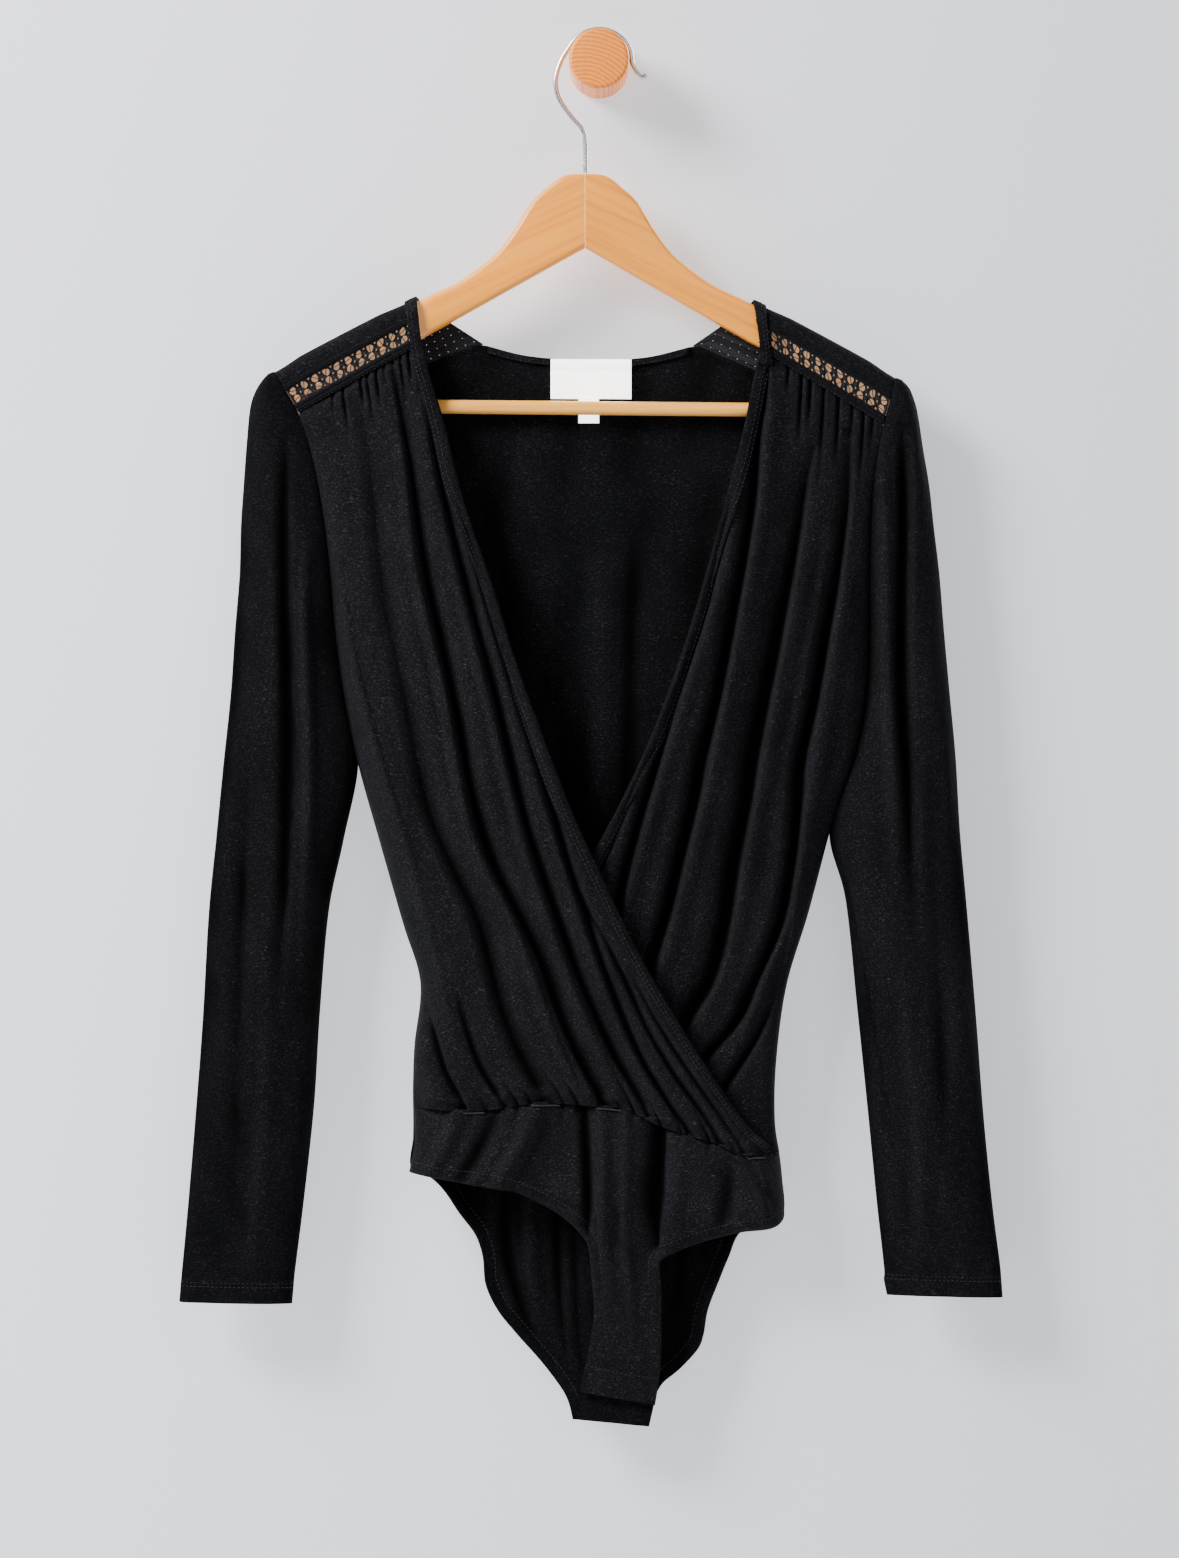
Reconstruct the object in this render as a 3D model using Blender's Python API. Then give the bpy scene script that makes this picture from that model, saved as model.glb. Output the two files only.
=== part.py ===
"""A long-sleeved wrap bodysuit on a wooden hanger, hung from a round wooden peg.

Metres, +Z up. The origin is the middle of the peg's wall face, the wall is the plane y = 0 and the
garment's front faces -Y. Tables are in millimetres, and "depth" is the distance out from the wall.
Right and left are the wearer's, so the right sleeve is at -X.
"""

import math

import bmesh
import bpy
from mathutils import Vector

MM = 0.001

# Wall thicknesses and the gaps left at seams
CLOTH = 1.2
TAPE = 1.6
SEAM_GAP = 0.5
WAIST_GAP = 0.5
ARMHOLE_GAP = 0.8
ON_TOP = 0.3

# The peg and the hanger
PEG_RADIUS = 20.5
PEG_LENGTH = 56.0
PEG_EDGE = 2.5
WIRE_RADIUS = 1.7
HANGER_DEPTH = 34.0
ARM_THICKNESS = 12.0
ARM_EDGE = 3.5
HANGER_X = -9.5
HANGER_TILT = math.tan(math.radians(0.55))
ROD_RADIUS = 4.75
ROD_HEIGHT = -235.3
NOTCH_REACH = 191.8

# One arm's outline. Columns: reach from the hanger's middle, height
ARM_TOP = (
    (0.0, -76.2),
    (14.3, -77.6),
    (25.9, -85.9),
    (36.1, -95.5),
    (46.3, -111.9),
    (55.8, -125.6),
    (66.0, -135.9),
    (85.7, -150.4),
    (106.1, -160.1),
    (125.5, -169.4),
    (139.5, -175.3),
    (159.5, -185.7),
    (180.5, -196.9),
    (193.5, -204.0),
    (204.0, -211.2),
    (210.1, -222.3),
    (212.2, -228.4),
    (209.5, -240.0),
    (200.6, -246.7),
)
ARM_UNDER = ((NOTCH_REACH, -243.9), (NOTCH_REACH, -229.0), (111.5, -189.6), (0.0, -126.5))

# The wire hook round the peg: an arc, then a bend down to the stem. Columns: x, height
HOOK_TIP = ((32.0, -8.6), (29.2, -10.4), (25.0, -5.4))
HOOK_ARC = (0.0, 150.0, 9)
HOOK_BEND = (
    (-25.0, 2.6),
    (-28.6, -6.8),
    (-29.6, -15.6),
    (-26.5, -26.5),
    (-17.7, -38.8),
    (-11.0, -46.5),
    (-9.5, -56.0),
    (-9.5, -75.4),
)

# The shoulder band hangs from a ridge on the arm's top edge down to a straight seam.
# Columns: inner x, inner height, outer x, outer height
FRONT_SEAM = {"right": (-120.6, -191.8, -204.0, -238.6), "left": (109.5, -195.8, 193.1, -247.0)}
BACK_SEAM = {"right": (-78.0, -191.2, -204.0, -239.6), "left": (63.0, -192.2, 193.1, -247.6)}
RIDGE_REACH = (114.5, 211.0)
RIDGE_LIFT = 1.7
ARCH_SHARE = 0.28
ARCH_POWER = 2.6
ARCH_DEPTH = 9.0
# Strips of the band, as shares of the way from the ridge down to the seam
YOKE_END = 0.355
UPPER_TAPE = (0.365, 0.445)
LACE = (0.455, 0.83)
LOWER_TAPE = (0.84, 0.985)
BACK_LACE = (0.37, 0.995)
LACE_HOLES = 12
HOLE_WIDE, HOLE_TALL = 4.4, 4.3

# Side edges from the shoulder band down to the waist, shared by the front, back and sleeve.
# Columns: x, height, depth of the front's edge. An armpit is the row where its sleeve parts
ARMPIT = {"right": 7, "left": 8}
SIDE = {
    "right": (
        (-204, -240, 43.0),
        (-197, -260, 43.0),
        (-191, -285, 42.5),
        (-186, -315, 41.5),
        (-182, -349, 40.5),
        (-179, -386, 39.0),
        (-173, -430, 37.0),
        (-164, -475, 34.4),
        (-149, -529, 34.4),
        (-133, -585, 34.4),
        (-121, -626, 34.4),
        (-125, -668, 34.4),
        (-126, -694, 34.4),
        (-126, -709, 34.4),
    ),
    "left": (
        (193, -248, 43.0),
        (189, -267, 43.0),
        (186, -288, 42.5),
        (184, -315, 41.5),
        (183, -349, 40.5),
        (183, -386, 39.0),
        (181, -430, 37.0),
        (173, -473, 35.6),
        (157, -522, 34.4),
        (142, -578, 34.4),
        (127, -628, 34.4),
        (120, -679, 34.4),
        (119, -718, 34.4),
        (122, -741, 34.4),
    ),
}

# The wrap's crossing edges. Columns: x, height, depth of that edge, depth of the panel's middle
OVER_EDGE = (
    (-120, -194, 43.0, 43.0),
    (-113, -222, 43.5, 46.5),
    (-105, -249, 45.0, 50.0),
    (-97, -283, 46.5, 52.0),
    (-85, -320, 48.0, 54.0),
    (-72, -359, 49.5, 55.5),
    (-58, -405, 51.5, 57.0),
    (-39, -458, 53.5, 58.0),
    (-20, -507, 55.5, 59.0),
    (5, -561, 56.5, 59.5),
    (31, -616, 56.5, 59.0),
    (67, -677, 54.5, 57.0),
    (99, -721, 49.0, 53.0),
    (121, -742, 39.0, 49.5),
)
UNDER_EDGE = (
    (109, -198, 43.0, 43.0),
    (104, -220, 43.5, 45.5),
    (98, -250, 45.0, 48.0),
    (89, -288, 46.0, 50.0),
    (78, -328, 46.5, 51.0),
    (66, -371, 47.0, 51.0),
    (50, -420, 47.0, 50.0),
    (30, -471, 46.5, 48.5),
    (5, -522, 45.5, 47.0),
    (-27, -578, 45.0, 46.0),
    (-52, -621, 45.0, 45.5),
    (-82, -667, 44.5, 45.0),
    (-100, -694, 44.0, 44.5),
    (-111, -707, 43.0, 43.5),
)
BACK_MIDDLE = (25.0, 24.5, 24.0, 23.0, 22.0, 21.0, 20.5, 20.0, 20.0, 20.0, 19.5, 19.0, 18.5, 18.5)

# The waist seam and the back neckline. Columns: x, height
WAIST = ((-126, -709), (-81, -711), (-45, -706), (0, -708), (20, -711), (41, -721), (79, -733),
         (99, -741), (122, -741))
BACK_TOP = ((-204, -240), (-78, -191.5), (-51, -198.5), (-6, -201.5), (34, -199.5), (63, -192.5),
            (193, -248))

# The brief. Columns: left x and height, right x and height, depths at left, middle, right
BRIEF_FRONT = (
    (-126, -709, 122, -741, 34.4, 49.5, 34.4),
    (-126, -728, 124, -757, 34.4, 51.0, 34.4),
    (-127, -751, 125, -784, 34.4, 51.5, 34.4),
    (-103, -760, 116, -794, 37.0, 51.0, 36.0),
    (-81, -762, 97, -795, 40.0, 50.5, 38.5),
    (-61, -766, 79, -799, 42.5, 50.0, 41.0),
    (-40, -775, 62, -804, 44.5, 49.5, 43.0),
    (-25, -784, 50, -809, 45.5, 49.0, 44.5),
    (-13, -795, 44, -812, 46.0, 48.0, 45.5),
    (-7, -805, 41, -817, 45.5, 47.0, 45.0),
    (-5, -825, 42, -835, 44.0, 45.5, 44.0),
    (-3, -849, 42, -855, 42.0, 43.5, 42.0),
    (-6, -872, 42, -876, 40.0, 41.0, 40.0),
    (-10, -889, 41, -893, 38.7, 39.2, 38.7),
    (-13, -904, 38, -913, 38.0, 38.2, 38.0),
)
BRIEF_BACK = (
    (-126, -709, 122, -741, 33.6, 18.5, 33.6),
    (-126, -728, 124, -757, 33.6, 18.5, 33.6),
    (-127, -751, 125, -784, 33.6, 19.0, 33.6),
    (-114, -759, 113, -793, 31.0, 19.5, 31.0),
    (-105, -768, 96, -796, 29.0, 20.0, 29.0),
    (-95, -783, 88, -813, 27.5, 20.5, 27.5),
    (-84, -798, 82, -828, 26.5, 21.0, 26.5),
    (-79, -813, 74, -849, 26.0, 21.5, 26.0),
    (-77, -832, 71, -866, 26.0, 22.0, 26.0),
    (-69, -849, 67, -876, 27.0, 23.5, 27.0),
    (-57, -864, 55, -889, 28.5, 26.0, 28.5),
    (-40, -883, 44, -898, 30.5, 29.5, 30.5),
    (-27, -900, 39, -906, 33.0, 32.8, 33.0),
    (-21, -911, 37, -915, 33.8, 33.8, 33.8),
    (-18, -923, 34, -928, 34.0, 34.0, 34.0),
)

# A sleeve below its cap. Columns: outer x and height, inner x and height, half depth; the inner
# edge of the first rows is the armhole, from the side table
CAP = {
    "right": ((-225, -213.2, 5.2), (-229, -217.5, 8.6), (-234, -226, 9.4)),
    "left": ((206, -217.5, 5.2), (211, -223, 8.6), (215, -234, 9.4)),
}
UPPER_SLEEVE = {
    "right": (
        (-237, -237, 10.5),
        (-239, -258, 11.5),
        (-241, -285, 12.5),
        (-243, -315, 13.0),
        (-244, -349, 13.5),
        (-247, -386, 14.0),
        (-250, -430, 14.0),
        (-255, -478, 14.0),
    ),
    "left": (
        (217, -244, 10.5),
        (220, -264, 11.5),
        (224, -288, 12.5),
        (227, -315, 13.0),
        (231, -349, 13.5),
        (234, -386, 14.0),
        (238, -430, 14.0),
        (242, -473, 14.0),
        (245, -524, 14.0),
    ),
}
LOWER_SLEEVE = {
    "right": (
        (-260, -529, -174, -529, 14.0),
        (-265, -580, -184, -577, 13.5),
        (-269, -651, -190, -645, 13.0),
        (-274, -717, -194, -709, 12.0),
        (-279, -777, -201, -774, 10.5),
        (-282, -822, -207, -825, 9.5),
        (-285, -830, -208, -832, 9.5),
        (-285, -843, -209, -844, 10.0),
    ),
    "left": (
        (250, -580, 168, -570, 13.5),
        (256, -651, 176, -645, 13.0),
        (261, -717, 183, -713, 12.0),
        (267, -777, 189, -774, 10.5),
        (272, -816, 194, -819, 9.5),
        (273, -827, 194, -828, 9.5),
        (274, -840, 196, -838, 10.0),
    ),
}

# Large folds: a trough has a negative lift. Columns: highest and lowest height, x where the
# fold passes each of five heights, lift out of the panel, half width
FOLD_HEIGHTS = (-257, -366, -475, -583, -692)
OVER_FOLDS = (
    (-235, -700, -154, -148, -122, -80, -69, -5.5, 12),
    (-225, -640, -130, -114, -90, -50, -44, -5.0, 9),
    (-250, -700, -115, -86, -59, -33, 12, -4.5, 8),
    (-455, -700, -92, -75, -54, -16, 32, -4.5, 8),
    (-600, -705, -60, -45, -25, -2, 48, -3.5, 7),
    (-300, -560, -172, -160, -145, -122, -105, 3.0, 12),
)
UNDER_FOLDS = (
    (-300, -640, 101, 81, 50, 21, -6, 4.5, 11),
    (-230, -660, 120, 101, 80, 55, 28, 4.5, 11),
    (-220, -700, 141, 139, 117, 98, 69, 5.5, 14),
    (-215, -690, 158, 170, 152, 128, 100, 4.5, 12),
)
BACK_FOLDS = (
    (-330, -640, 0, 2, 2, 4, 6, 3.0, 14),
    (-330, -640, 24, 22, 20, 22, 26, -3.5, 10),
    (-300, -660, -70, -64, -58, -52, -50, -3.0, 14),
    (-300, -660, 90, 84, 76, 70, 62, 3.0, 16),
)
BRIEF_HEIGHTS = (-709, -750, -790, -830, -870)
BRIEF_FOLDS = (
    (-700, -752, -94, -112, -125, -130, -135, 2.6, 11),
    (-700, -775, -42, -62, -74, -84, -90, 2.8, 11),
    (-695, -800, -9, -9, -11, -12, -12, -3.2, 7),
    (-695, -860, 3, 3, 3, 8, 10, 2.2, 8),
    (-705, -812, 36, 35, 33, 32, 32, -5.0, 9),
    (-715, -800, 60, 58, 56, 54, 52, 1.8, 12),
)
BRIEF_BACK_FOLDS = (
    (-720, -850, -70, -74, -76, -66, -50, -2.5, 9),
    (-720, -880, -40, -46, -48, -44, -36, 2.5, 9),
    (-720, -860, 60, 58, 56, 52, 44, -2.5, 9),
)
SLEEVE_FOLDS = {
    "right": (
        (-240, -600, -212, -214, -214, -218, -220, -4.5, 9),
        (-330, -640, -196, -202, -198, -206, -208, 2.5, 8),
    ),
    "left": (
        (-235, -560, 205, 205, 205, 208, 210, -4.5, 8),
        (-235, -600, 193, 194, 194, 200, 206, 2.5, 8),
    ),
}
WAIST_WAVES = 15
WAIST_WAVE_LIFT = 1.9
SHOULDER_WAVES = 8
SHOULDER_WAVE_LIFT = 1.3
WAVE_SPAN = (0.18, 0.88)

ROLL = 26.0
EDGE_FADE = 4.0
BAND_WIDE = 8.0
BAND_LIFT = CLOTH / 2 + 2.6 * ON_TOP + TAPE / 2
UNDER_BAND_ROWS = 15
NECK_BAND_WIDE = 5.0
LABEL = (-32.0, 22.0, -203.4, -228.0)
SIZE_TAB = (-13.0, -1.0, -229.0, -245.0)
SNAPS = ((1.0, -897.0), (27.0, -900.0))
SNAP_RADIUS = 4.0

# Colours as Blender's linear values, roughness and metallic
JERSEY = (0.009, 0.009, 0.011, 1.0, 0.85, 0.0)
LACE_YARN = (0.012, 0.012, 0.014, 1.0, 0.8, 0.0)
BEECH = (0.60, 0.36, 0.16, 1.0, 0.45, 0.0)
PEG_WOOD = (0.50, 0.29, 0.12, 1.0, 0.5, 0.0)
STEEL = (0.62, 0.62, 0.62, 1.0, 0.25, 1.0)
WHITE_TAPE = (0.72, 0.72, 0.68, 1.0, 0.8, 0.0)


def world(x, height, depth):
    return Vector((x * MM, -depth * MM, height * MM))


def smooth_step(t):
    t = min(1.0, max(0.0, t))
    return t * t * (3 - 2 * t)


def curve_value(values, t):
    """A smooth curve through the values, read at t, where t = 1 is the second value."""
    last = len(values) - 1
    i = min(last - 1, max(0, int(t)))
    f = t - i
    a, b, c, d = (values[min(last, max(0, i + k))] for k in (-1, 0, 1, 2))
    return b + 0.5 * f * (c - a + f * (2 * a - 5 * b + 4 * c - d + f * (3 * (b - c) + d - a)))


def table_row(rows, t):
    return [curve_value(column, t) for column in zip(*rows)]


def straight_at(line, x):
    """The height of a line of (x, height) points at x, straight between points."""
    for (x0, z0), (x1, z1) in zip(line, line[1:]):
        if x <= x1:
            return z0 + (z1 - z0) * max(0.0, x - x0) / (x1 - x0)
    return line[-1][1]


def height_at(line, x):
    """The height at x of a smooth curve through the line's points."""
    slopes = [(b[1] - a[1]) / (b[0] - a[0]) for a, b in zip(line, line[1:])]
    turns = [slopes[0], *((a + b) / 2 for a, b in zip(slopes, slopes[1:])), slopes[-1]]
    x = min(line[-1][0], max(line[0][0], x))
    i = max(0, sum(point[0] < x for point in line[:-1]) - 1)
    (x0, z0), (x1, z1) = line[i], line[i + 1]
    wide = x1 - x0
    f = (x - x0) / wide
    return (z0 * (1 + 2 * f) * (1 - f) ** 2 + z1 * f * f * (3 - 2 * f)
            + wide * f * (1 - f) * (turns[i] * (1 - f) - turns[i + 1] * f))


def waist(x):
    return height_at(WAIST, x)


def back_top(x):
    """The back's top edge: straight shoulder seams and a curved neckline between them."""
    neck = BACK_TOP[1:-1]
    inside = neck[0][0] < x < neck[-1][0]
    return height_at(neck, x) if inside else straight_at(BACK_TOP, x)


def fold_lift(folds, heights, x, height):
    """How far the folds move a point out of its panel."""
    total = 0.0
    step = heights[1] - heights[0]
    for top, low, *places, lift, half in folds:
        if not low < height < top:
            continue
        t = min(len(heights) - 1.0, max(0.0, (height - heights[0]) / step))
        across = (x - curve_value(places, t)) / half
        if abs(across) < 1:
            fade = smooth_step((top - height) / 30) * smooth_step((height - low) / 25)
            total += lift * fade * (0.5 + 0.5 * math.cos(math.pi * across))
    return total


def waves(u, count):
    a, b = WAVE_SPAN
    if not a < u < b:
        return 0.0
    t = (u - a) / (b - a)
    return math.sin(math.pi * t) ** 0.3 * math.cos(2 * math.pi * count * t)


class Sheet:
    """A cloth panel. Across, u runs from its left edge, 0, to its right, 1; v counts its rows."""

    def __init__(self, rows, folds=(), heights=FOLD_HEIGHTS, rolled=(True, True), top=None,
                 bottom=None, waves_at=None):
        self.rows, self.folds, self.heights = rows, folds, heights
        self.rolled, self.top, self.bottom = rolled, top, bottom
        self.waves_at = waves_at
        self.last = len(rows) - 1

    def point(self, u, v):
        x0, z0, x1, z1, edge0, middle, edge1 = table_row(self.rows, v)
        x, z = x0 + (x1 - x0) * u, z0 + (z1 - z0) * u
        for line, row, away in ((self.top, self.rows[0], v), (self.bottom, self.rows[-1],
                                                             self.last - v)):
            if line:
                straight = row[1] + (row[3] - row[1]) * (x - row[0]) / (row[2] - row[0])
                z += smooth_step(1 - away / EDGE_FADE) * (line(x) - straight)
        width = abs(x1 - x0)
        roll = min(ROLL, width / 2)
        depth = middle
        for edge, away, rolled in ((edge0, u, self.rolled[0]), (edge1, 1 - u, self.rolled[1])):
            t = 1 - min(1.0, away * width / roll)
            depth += (edge - middle) * ((1 - math.sqrt(1 - t * t)) if rolled else t * t)
        clear = 1.0
        for away, rolled in ((u, self.rolled[0]), (1 - u, self.rolled[1])):
            if rolled:
                clear *= smooth_step((away * width - 3) / 14)
        depth += clear * fold_lift(self.folds, self.heights, x, z)
        if self.waves_at:
            depth += self.waves_at(u, v) * clear
        return world(x, z, depth)

    def out(self, u, v, lift):
        """The point moved out of the sheet, towards the front."""
        e = 0.004
        u0, u1 = max(0.0, u - e), min(1.0, u + e)
        v0, v1 = max(0.0, v - e), min(float(self.last), v + e)
        across = self.point(u1, v) - self.point(u0, v)
        along = self.point(u, v1) - self.point(u, v0)
        normal = across.cross(along).normalized()
        if normal.y > 0:
            normal.negate()
        return self.point(u, v) + normal * lift * MM

    def place(self, x, height):
        """The u and v of the point at this x and height."""
        low, high = 0.0, float(self.last)
        for _ in range(30):
            v = (low + high) / 2
            x0, _z0, x1, *_ = table_row(self.rows, v)
            u = (x - x0) / (x1 - x0)
            if self.point(u, v).z > height * MM:
                low = v
            else:
                high = v
        return u, v


def material(name, look):
    made = bpy.data.materials.new(name)
    made.use_nodes = True
    shader = made.node_tree.nodes["Principled BSDF"]
    shader.inputs["Base Color"].default_value = look[:4]
    shader.inputs["Roughness"].default_value = look[4]
    shader.inputs["Metallic"].default_value = look[5]
    return made


def put(name, data, look, smooth=True):
    data.name = name
    obj = bpy.data.objects.new(name, data)
    bpy.context.collection.objects.link(obj)
    data.materials.append(material(name, look))
    if smooth and isinstance(data, bpy.types.Mesh):
        data.shade_smooth()
    return obj


def wall(name, grid, look=JERSEY, thick=CLOTH):
    """A grid of points made a cloth wall of even thickness."""
    bm = bmesh.new()
    made = [[bm.verts.new(p) for p in row] for row in grid]
    for upper, lower in zip(made, made[1:]):
        for i in range(len(upper) - 1):
            bm.faces.new((upper[i], lower[i], lower[i + 1], upper[i + 1]))
    mesh = bpy.data.meshes.new(name)
    bm.to_mesh(mesh)
    bm.free()
    obj = put(name, mesh, look)
    solid = obj.modifiers.new("Wall", "SOLIDIFY")
    solid.thickness = thick * MM
    solid.offset = 0.0
    return obj


def steps(start, end, count):
    return [start + (end - start) * i / count for i in range(count + 1)]


def crowded(count):
    """Steps from 0 to 1, closer together near both ends."""
    return [t - 0.7 * math.sin(2 * math.pi * t) / (2 * math.pi) for t in steps(0, 1, count)]


def hanger_point(side, reach, height, depth=HANGER_DEPTH):
    way = -1 if side == "right" else 1
    return world(HANGER_X + way * reach, height - way * reach * HANGER_TILT, depth)


def ridge_point(side, s):
    """The top of the shoulder band, s from its inner end, 0, to its outer end, 1."""
    reach = RIDGE_REACH[0] + (RIDGE_REACH[1] - RIDGE_REACH[0]) * s
    crest = ARM_TOP[8:16]
    height = straight_at(crest, reach) if reach < 204 else -211.2 - (reach - 204) * 0.6
    point = hanger_point(side, reach, height + RIDGE_LIFT)
    return point.x / MM, point.z / MM


def shoulder_point(side, s, f):
    """The shoulder band: f from -1 at the back seam, over the ridge at 0, to 1 at the front."""
    seam = FRONT_SEAM[side] if f > 0 else BACK_SEAM[side]
    x, z = ridge_point(side, s)
    seam_x = seam[0] + (seam[2] - seam[0]) * s
    seam_z = seam[1] + (seam[3] - seam[1]) * s
    t = max(0.0, 1 - abs(f) / ARCH_SHARE)
    depth = ARCH_DEPTH * (1 - t**ARCH_POWER) ** (1 / ARCH_POWER)
    share = abs(f)
    return world(x + (seam_x - x) * share, z + (seam_z - z) * share,
                 HANGER_DEPTH + math.copysign(depth, f))


def arm_steps():
    """Steps along the ridge at the points of the arm's outline, so that the cloth follows it."""
    start, end = RIDGE_REACH
    inside = [reach for reach, _height in ARM_TOP[:16] if start < reach < end - 2]
    return [(reach - start) / (end - start) for reach in (start, *inside, end)]


def shoulder_out(side, s, f, lift):
    e = 0.003
    across = shoulder_point(side, s + e, f) - shoulder_point(side, s - e, f)
    along = shoulder_point(side, s, f + e) - shoulder_point(side, s, f - e)
    normal = across.cross(along).normalized()
    centre = world(*ridge_point(side, s), HANGER_DEPTH) - Vector((0, 0, 14 * MM))
    if normal.dot(shoulder_point(side, s, f) - centre) < 0:
        normal.negate()
    return shoulder_point(side, s, f) + normal * lift * MM


def make_peg():
    bm = bmesh.new()
    bmesh.ops.create_cone(bm, cap_ends=True, segments=32, radius1=PEG_RADIUS * MM,
                          radius2=PEG_RADIUS * MM, depth=PEG_LENGTH * MM)
    for vert in bm.verts:
        x, y, z = vert.co
        vert.co = (x, -PEG_LENGTH * MM / 2 - z, y)
    bmesh.ops.recalc_face_normals(bm, faces=bm.faces)
    rim = [e for e in bm.edges if all(v.co.y < -0.9 * PEG_LENGTH * MM for v in e.verts)]
    bmesh.ops.bevel(bm, geom=rim, offset=PEG_EDGE * MM, affect="EDGES", segments=3, profile=0.5,
                    material=-1)
    mesh = bpy.data.meshes.new("wall_peg")
    bm.to_mesh(mesh)
    bm.free()
    put("wall_peg", mesh, PEG_WOOD)
    mesh.set_sharp_from_angle(angle=math.radians(40))


def make_arm(side):
    outline = list(ARM_TOP) + list(ARM_UNDER)
    middle_gap = 0.15
    bm = bmesh.new()
    verts = []
    for reach, height in outline:
        verts.append(bm.verts.new(hanger_point(side, max(middle_gap, reach), height,
                                               HANGER_DEPTH + ARM_THICKNESS / 2)))
    face = bm.faces.new(verts)
    grown = bmesh.ops.extrude_face_region(bm, geom=[face])["geom"]
    moved = [v for v in grown if isinstance(v, bmesh.types.BMVert)]
    bmesh.ops.translate(bm, vec=(0, ARM_THICKNESS * MM, 0), verts=moved)
    bmesh.ops.recalc_face_normals(bm, faces=bm.faces)
    long_edges = [e for e in bm.edges if abs(e.verts[0].co.y - e.verts[1].co.y) < MM
                  and max(abs(v.co.x - HANGER_X * MM) for v in e.verts) > MM]
    bmesh.ops.bevel(bm, geom=long_edges, offset=ARM_EDGE * MM, affect="EDGES", segments=2,
                    profile=0.5, material=-1, clamp_overlap=True)
    mesh = bpy.data.meshes.new("hanger_arm")
    bm.to_mesh(mesh)
    bm.free()
    put(f"hanger_arm_{side}", mesh, BEECH)
    mesh.set_sharp_from_angle(angle=math.radians(50))


def make_rod():
    ends = [hanger_point(side, NOTCH_REACH - ON_TOP, ROD_HEIGHT) for side in ("right", "left")]
    curve = bpy.data.curves.new("hanger_rod", "CURVE")
    curve.dimensions = "3D"
    curve.bevel_depth = ROD_RADIUS * MM
    curve.bevel_resolution = 4
    curve.use_fill_caps = True
    spline = curve.splines.new("POLY")
    spline.points.add(1)
    for point, place in zip(spline.points, ends):
        point.co = (*place, 1)
    put("hanger_rod", curve, BEECH)


def make_hook():
    first, last, count = HOOK_ARC
    radius = PEG_RADIUS + WIRE_RADIUS + ON_TOP
    arc = [(radius * math.cos(math.radians(a)), radius * math.sin(math.radians(a)))
           for a in steps(first, last, count)]
    route = [*HOOK_TIP, *arc, *HOOK_BEND]
    curve = bpy.data.curves.new("hanger_hook", "CURVE")
    curve.dimensions = "3D"
    curve.bevel_depth = WIRE_RADIUS * MM
    curve.bevel_resolution = 2
    curve.use_fill_caps = True
    along = steps(0, len(route) - 1, 2 * (len(route) - 1))
    spline = curve.splines.new("POLY")
    spline.points.add(len(along) - 1)
    for point, t in zip(spline.points, along):
        x, z = table_row(route, t)
        point.co = (*world(x, z, HANGER_DEPTH), 1)
    put("hanger_hook", curve, STEEL)


def make_sleeve(side):
    way = -1 if side == "right" else 1
    rows = []
    for (x, z, half), f in zip(CAP[side], (0.02, 0.16, 0.5)):
        seam = shoulder_point(side, 1.0, f)
        inner_x, inner_z = seam.x / MM, seam.z / MM
        rows.append((x, z, inner_x, inner_z, half, -seam.y / MM - HANGER_DEPTH))
    for (x, z, half), (inner_x, inner_z, depth) in zip(UPPER_SLEEVE[side], SIDE[side]):
        rows.append((x, z, inner_x, inner_z, half, depth - HANGER_DEPTH))
    rows += [(*row, 0.4) for row in LOWER_SLEEVE[side]]
    folds = SLEEVE_FOLDS[side]
    grid = []
    for v in steps(0, len(rows) - 1, 18):
        x_out, z_out, x_in, z_in, half, seam = table_row(rows, v)
        x_in += way * ARMHOLE_GAP
        line = []
        for turn in steps(0, 2 * math.pi, 16):
            s = (1 + math.cos(turn)) / 2
            bulge = abs(math.sin(turn))
            offset = half * bulge if s < 0.5 else seam + (half - seam) * bulge
            x, z = x_out + (x_in - x_out) * s, z_out + (z_in - z_out) * s
            front = turn <= math.pi
            if front:
                offset += bulge * fold_lift(folds, FOLD_HEIGHTS, x, z)
            line.append(world(x, z, HANGER_DEPTH + (offset if front else -offset)))
        grid.append(line)
    wall(f"sleeve_{side}", grid)


def panel_waves(u, v):
    """Gathers below the shoulder band and above the waist seam of the over panel."""
    low = smooth_step(1 - (13 - v) / 2.6) * (0.55 + 0.45 * smooth_step(13 - v))
    high = smooth_step(1 - v / 2.0)
    return (WAIST_WAVE_LIFT * low * waves(u, WAIST_WAVES)
            + SHOULDER_WAVE_LIFT * high * waves(u, SHOULDER_WAVES))


def under_waves(u, v):
    return SHOULDER_WAVE_LIFT * smooth_step(1 - v / 2.0) * waves(u, 5)


def brief_waves(u, v):
    return 0.8 * smooth_step(1 - v / 1.5) * waves(u, WAIST_WAVES)


def front_over():
    rows = [(sx, sz, ex, ez, sd, middle, ed)
            for (sx, sz, sd), (ex, ez, ed, middle) in zip(SIDE["right"], OVER_EDGE)]
    return Sheet(rows, OVER_FOLDS, rolled=(True, False), bottom=waist, waves_at=panel_waves)


def front_under():
    rows = [(ex, ez, sx, sz, ed, middle, sd)
            for (sx, sz, sd), (ex, ez, ed, middle) in zip(SIDE["left"], UNDER_EDGE)]
    return Sheet(rows, UNDER_FOLDS, rolled=(False, True), bottom=waist, waves_at=under_waves)


def back_sheet():
    rows = [(rx, rz, lx, lz, 68 - rd, middle, 68 - ld)
            for (rx, rz, rd), (lx, lz, ld), middle
            in zip(SIDE["right"], SIDE["left"], BACK_MIDDLE)]
    return Sheet(rows, BACK_FOLDS, top=back_top, bottom=waist)


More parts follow.
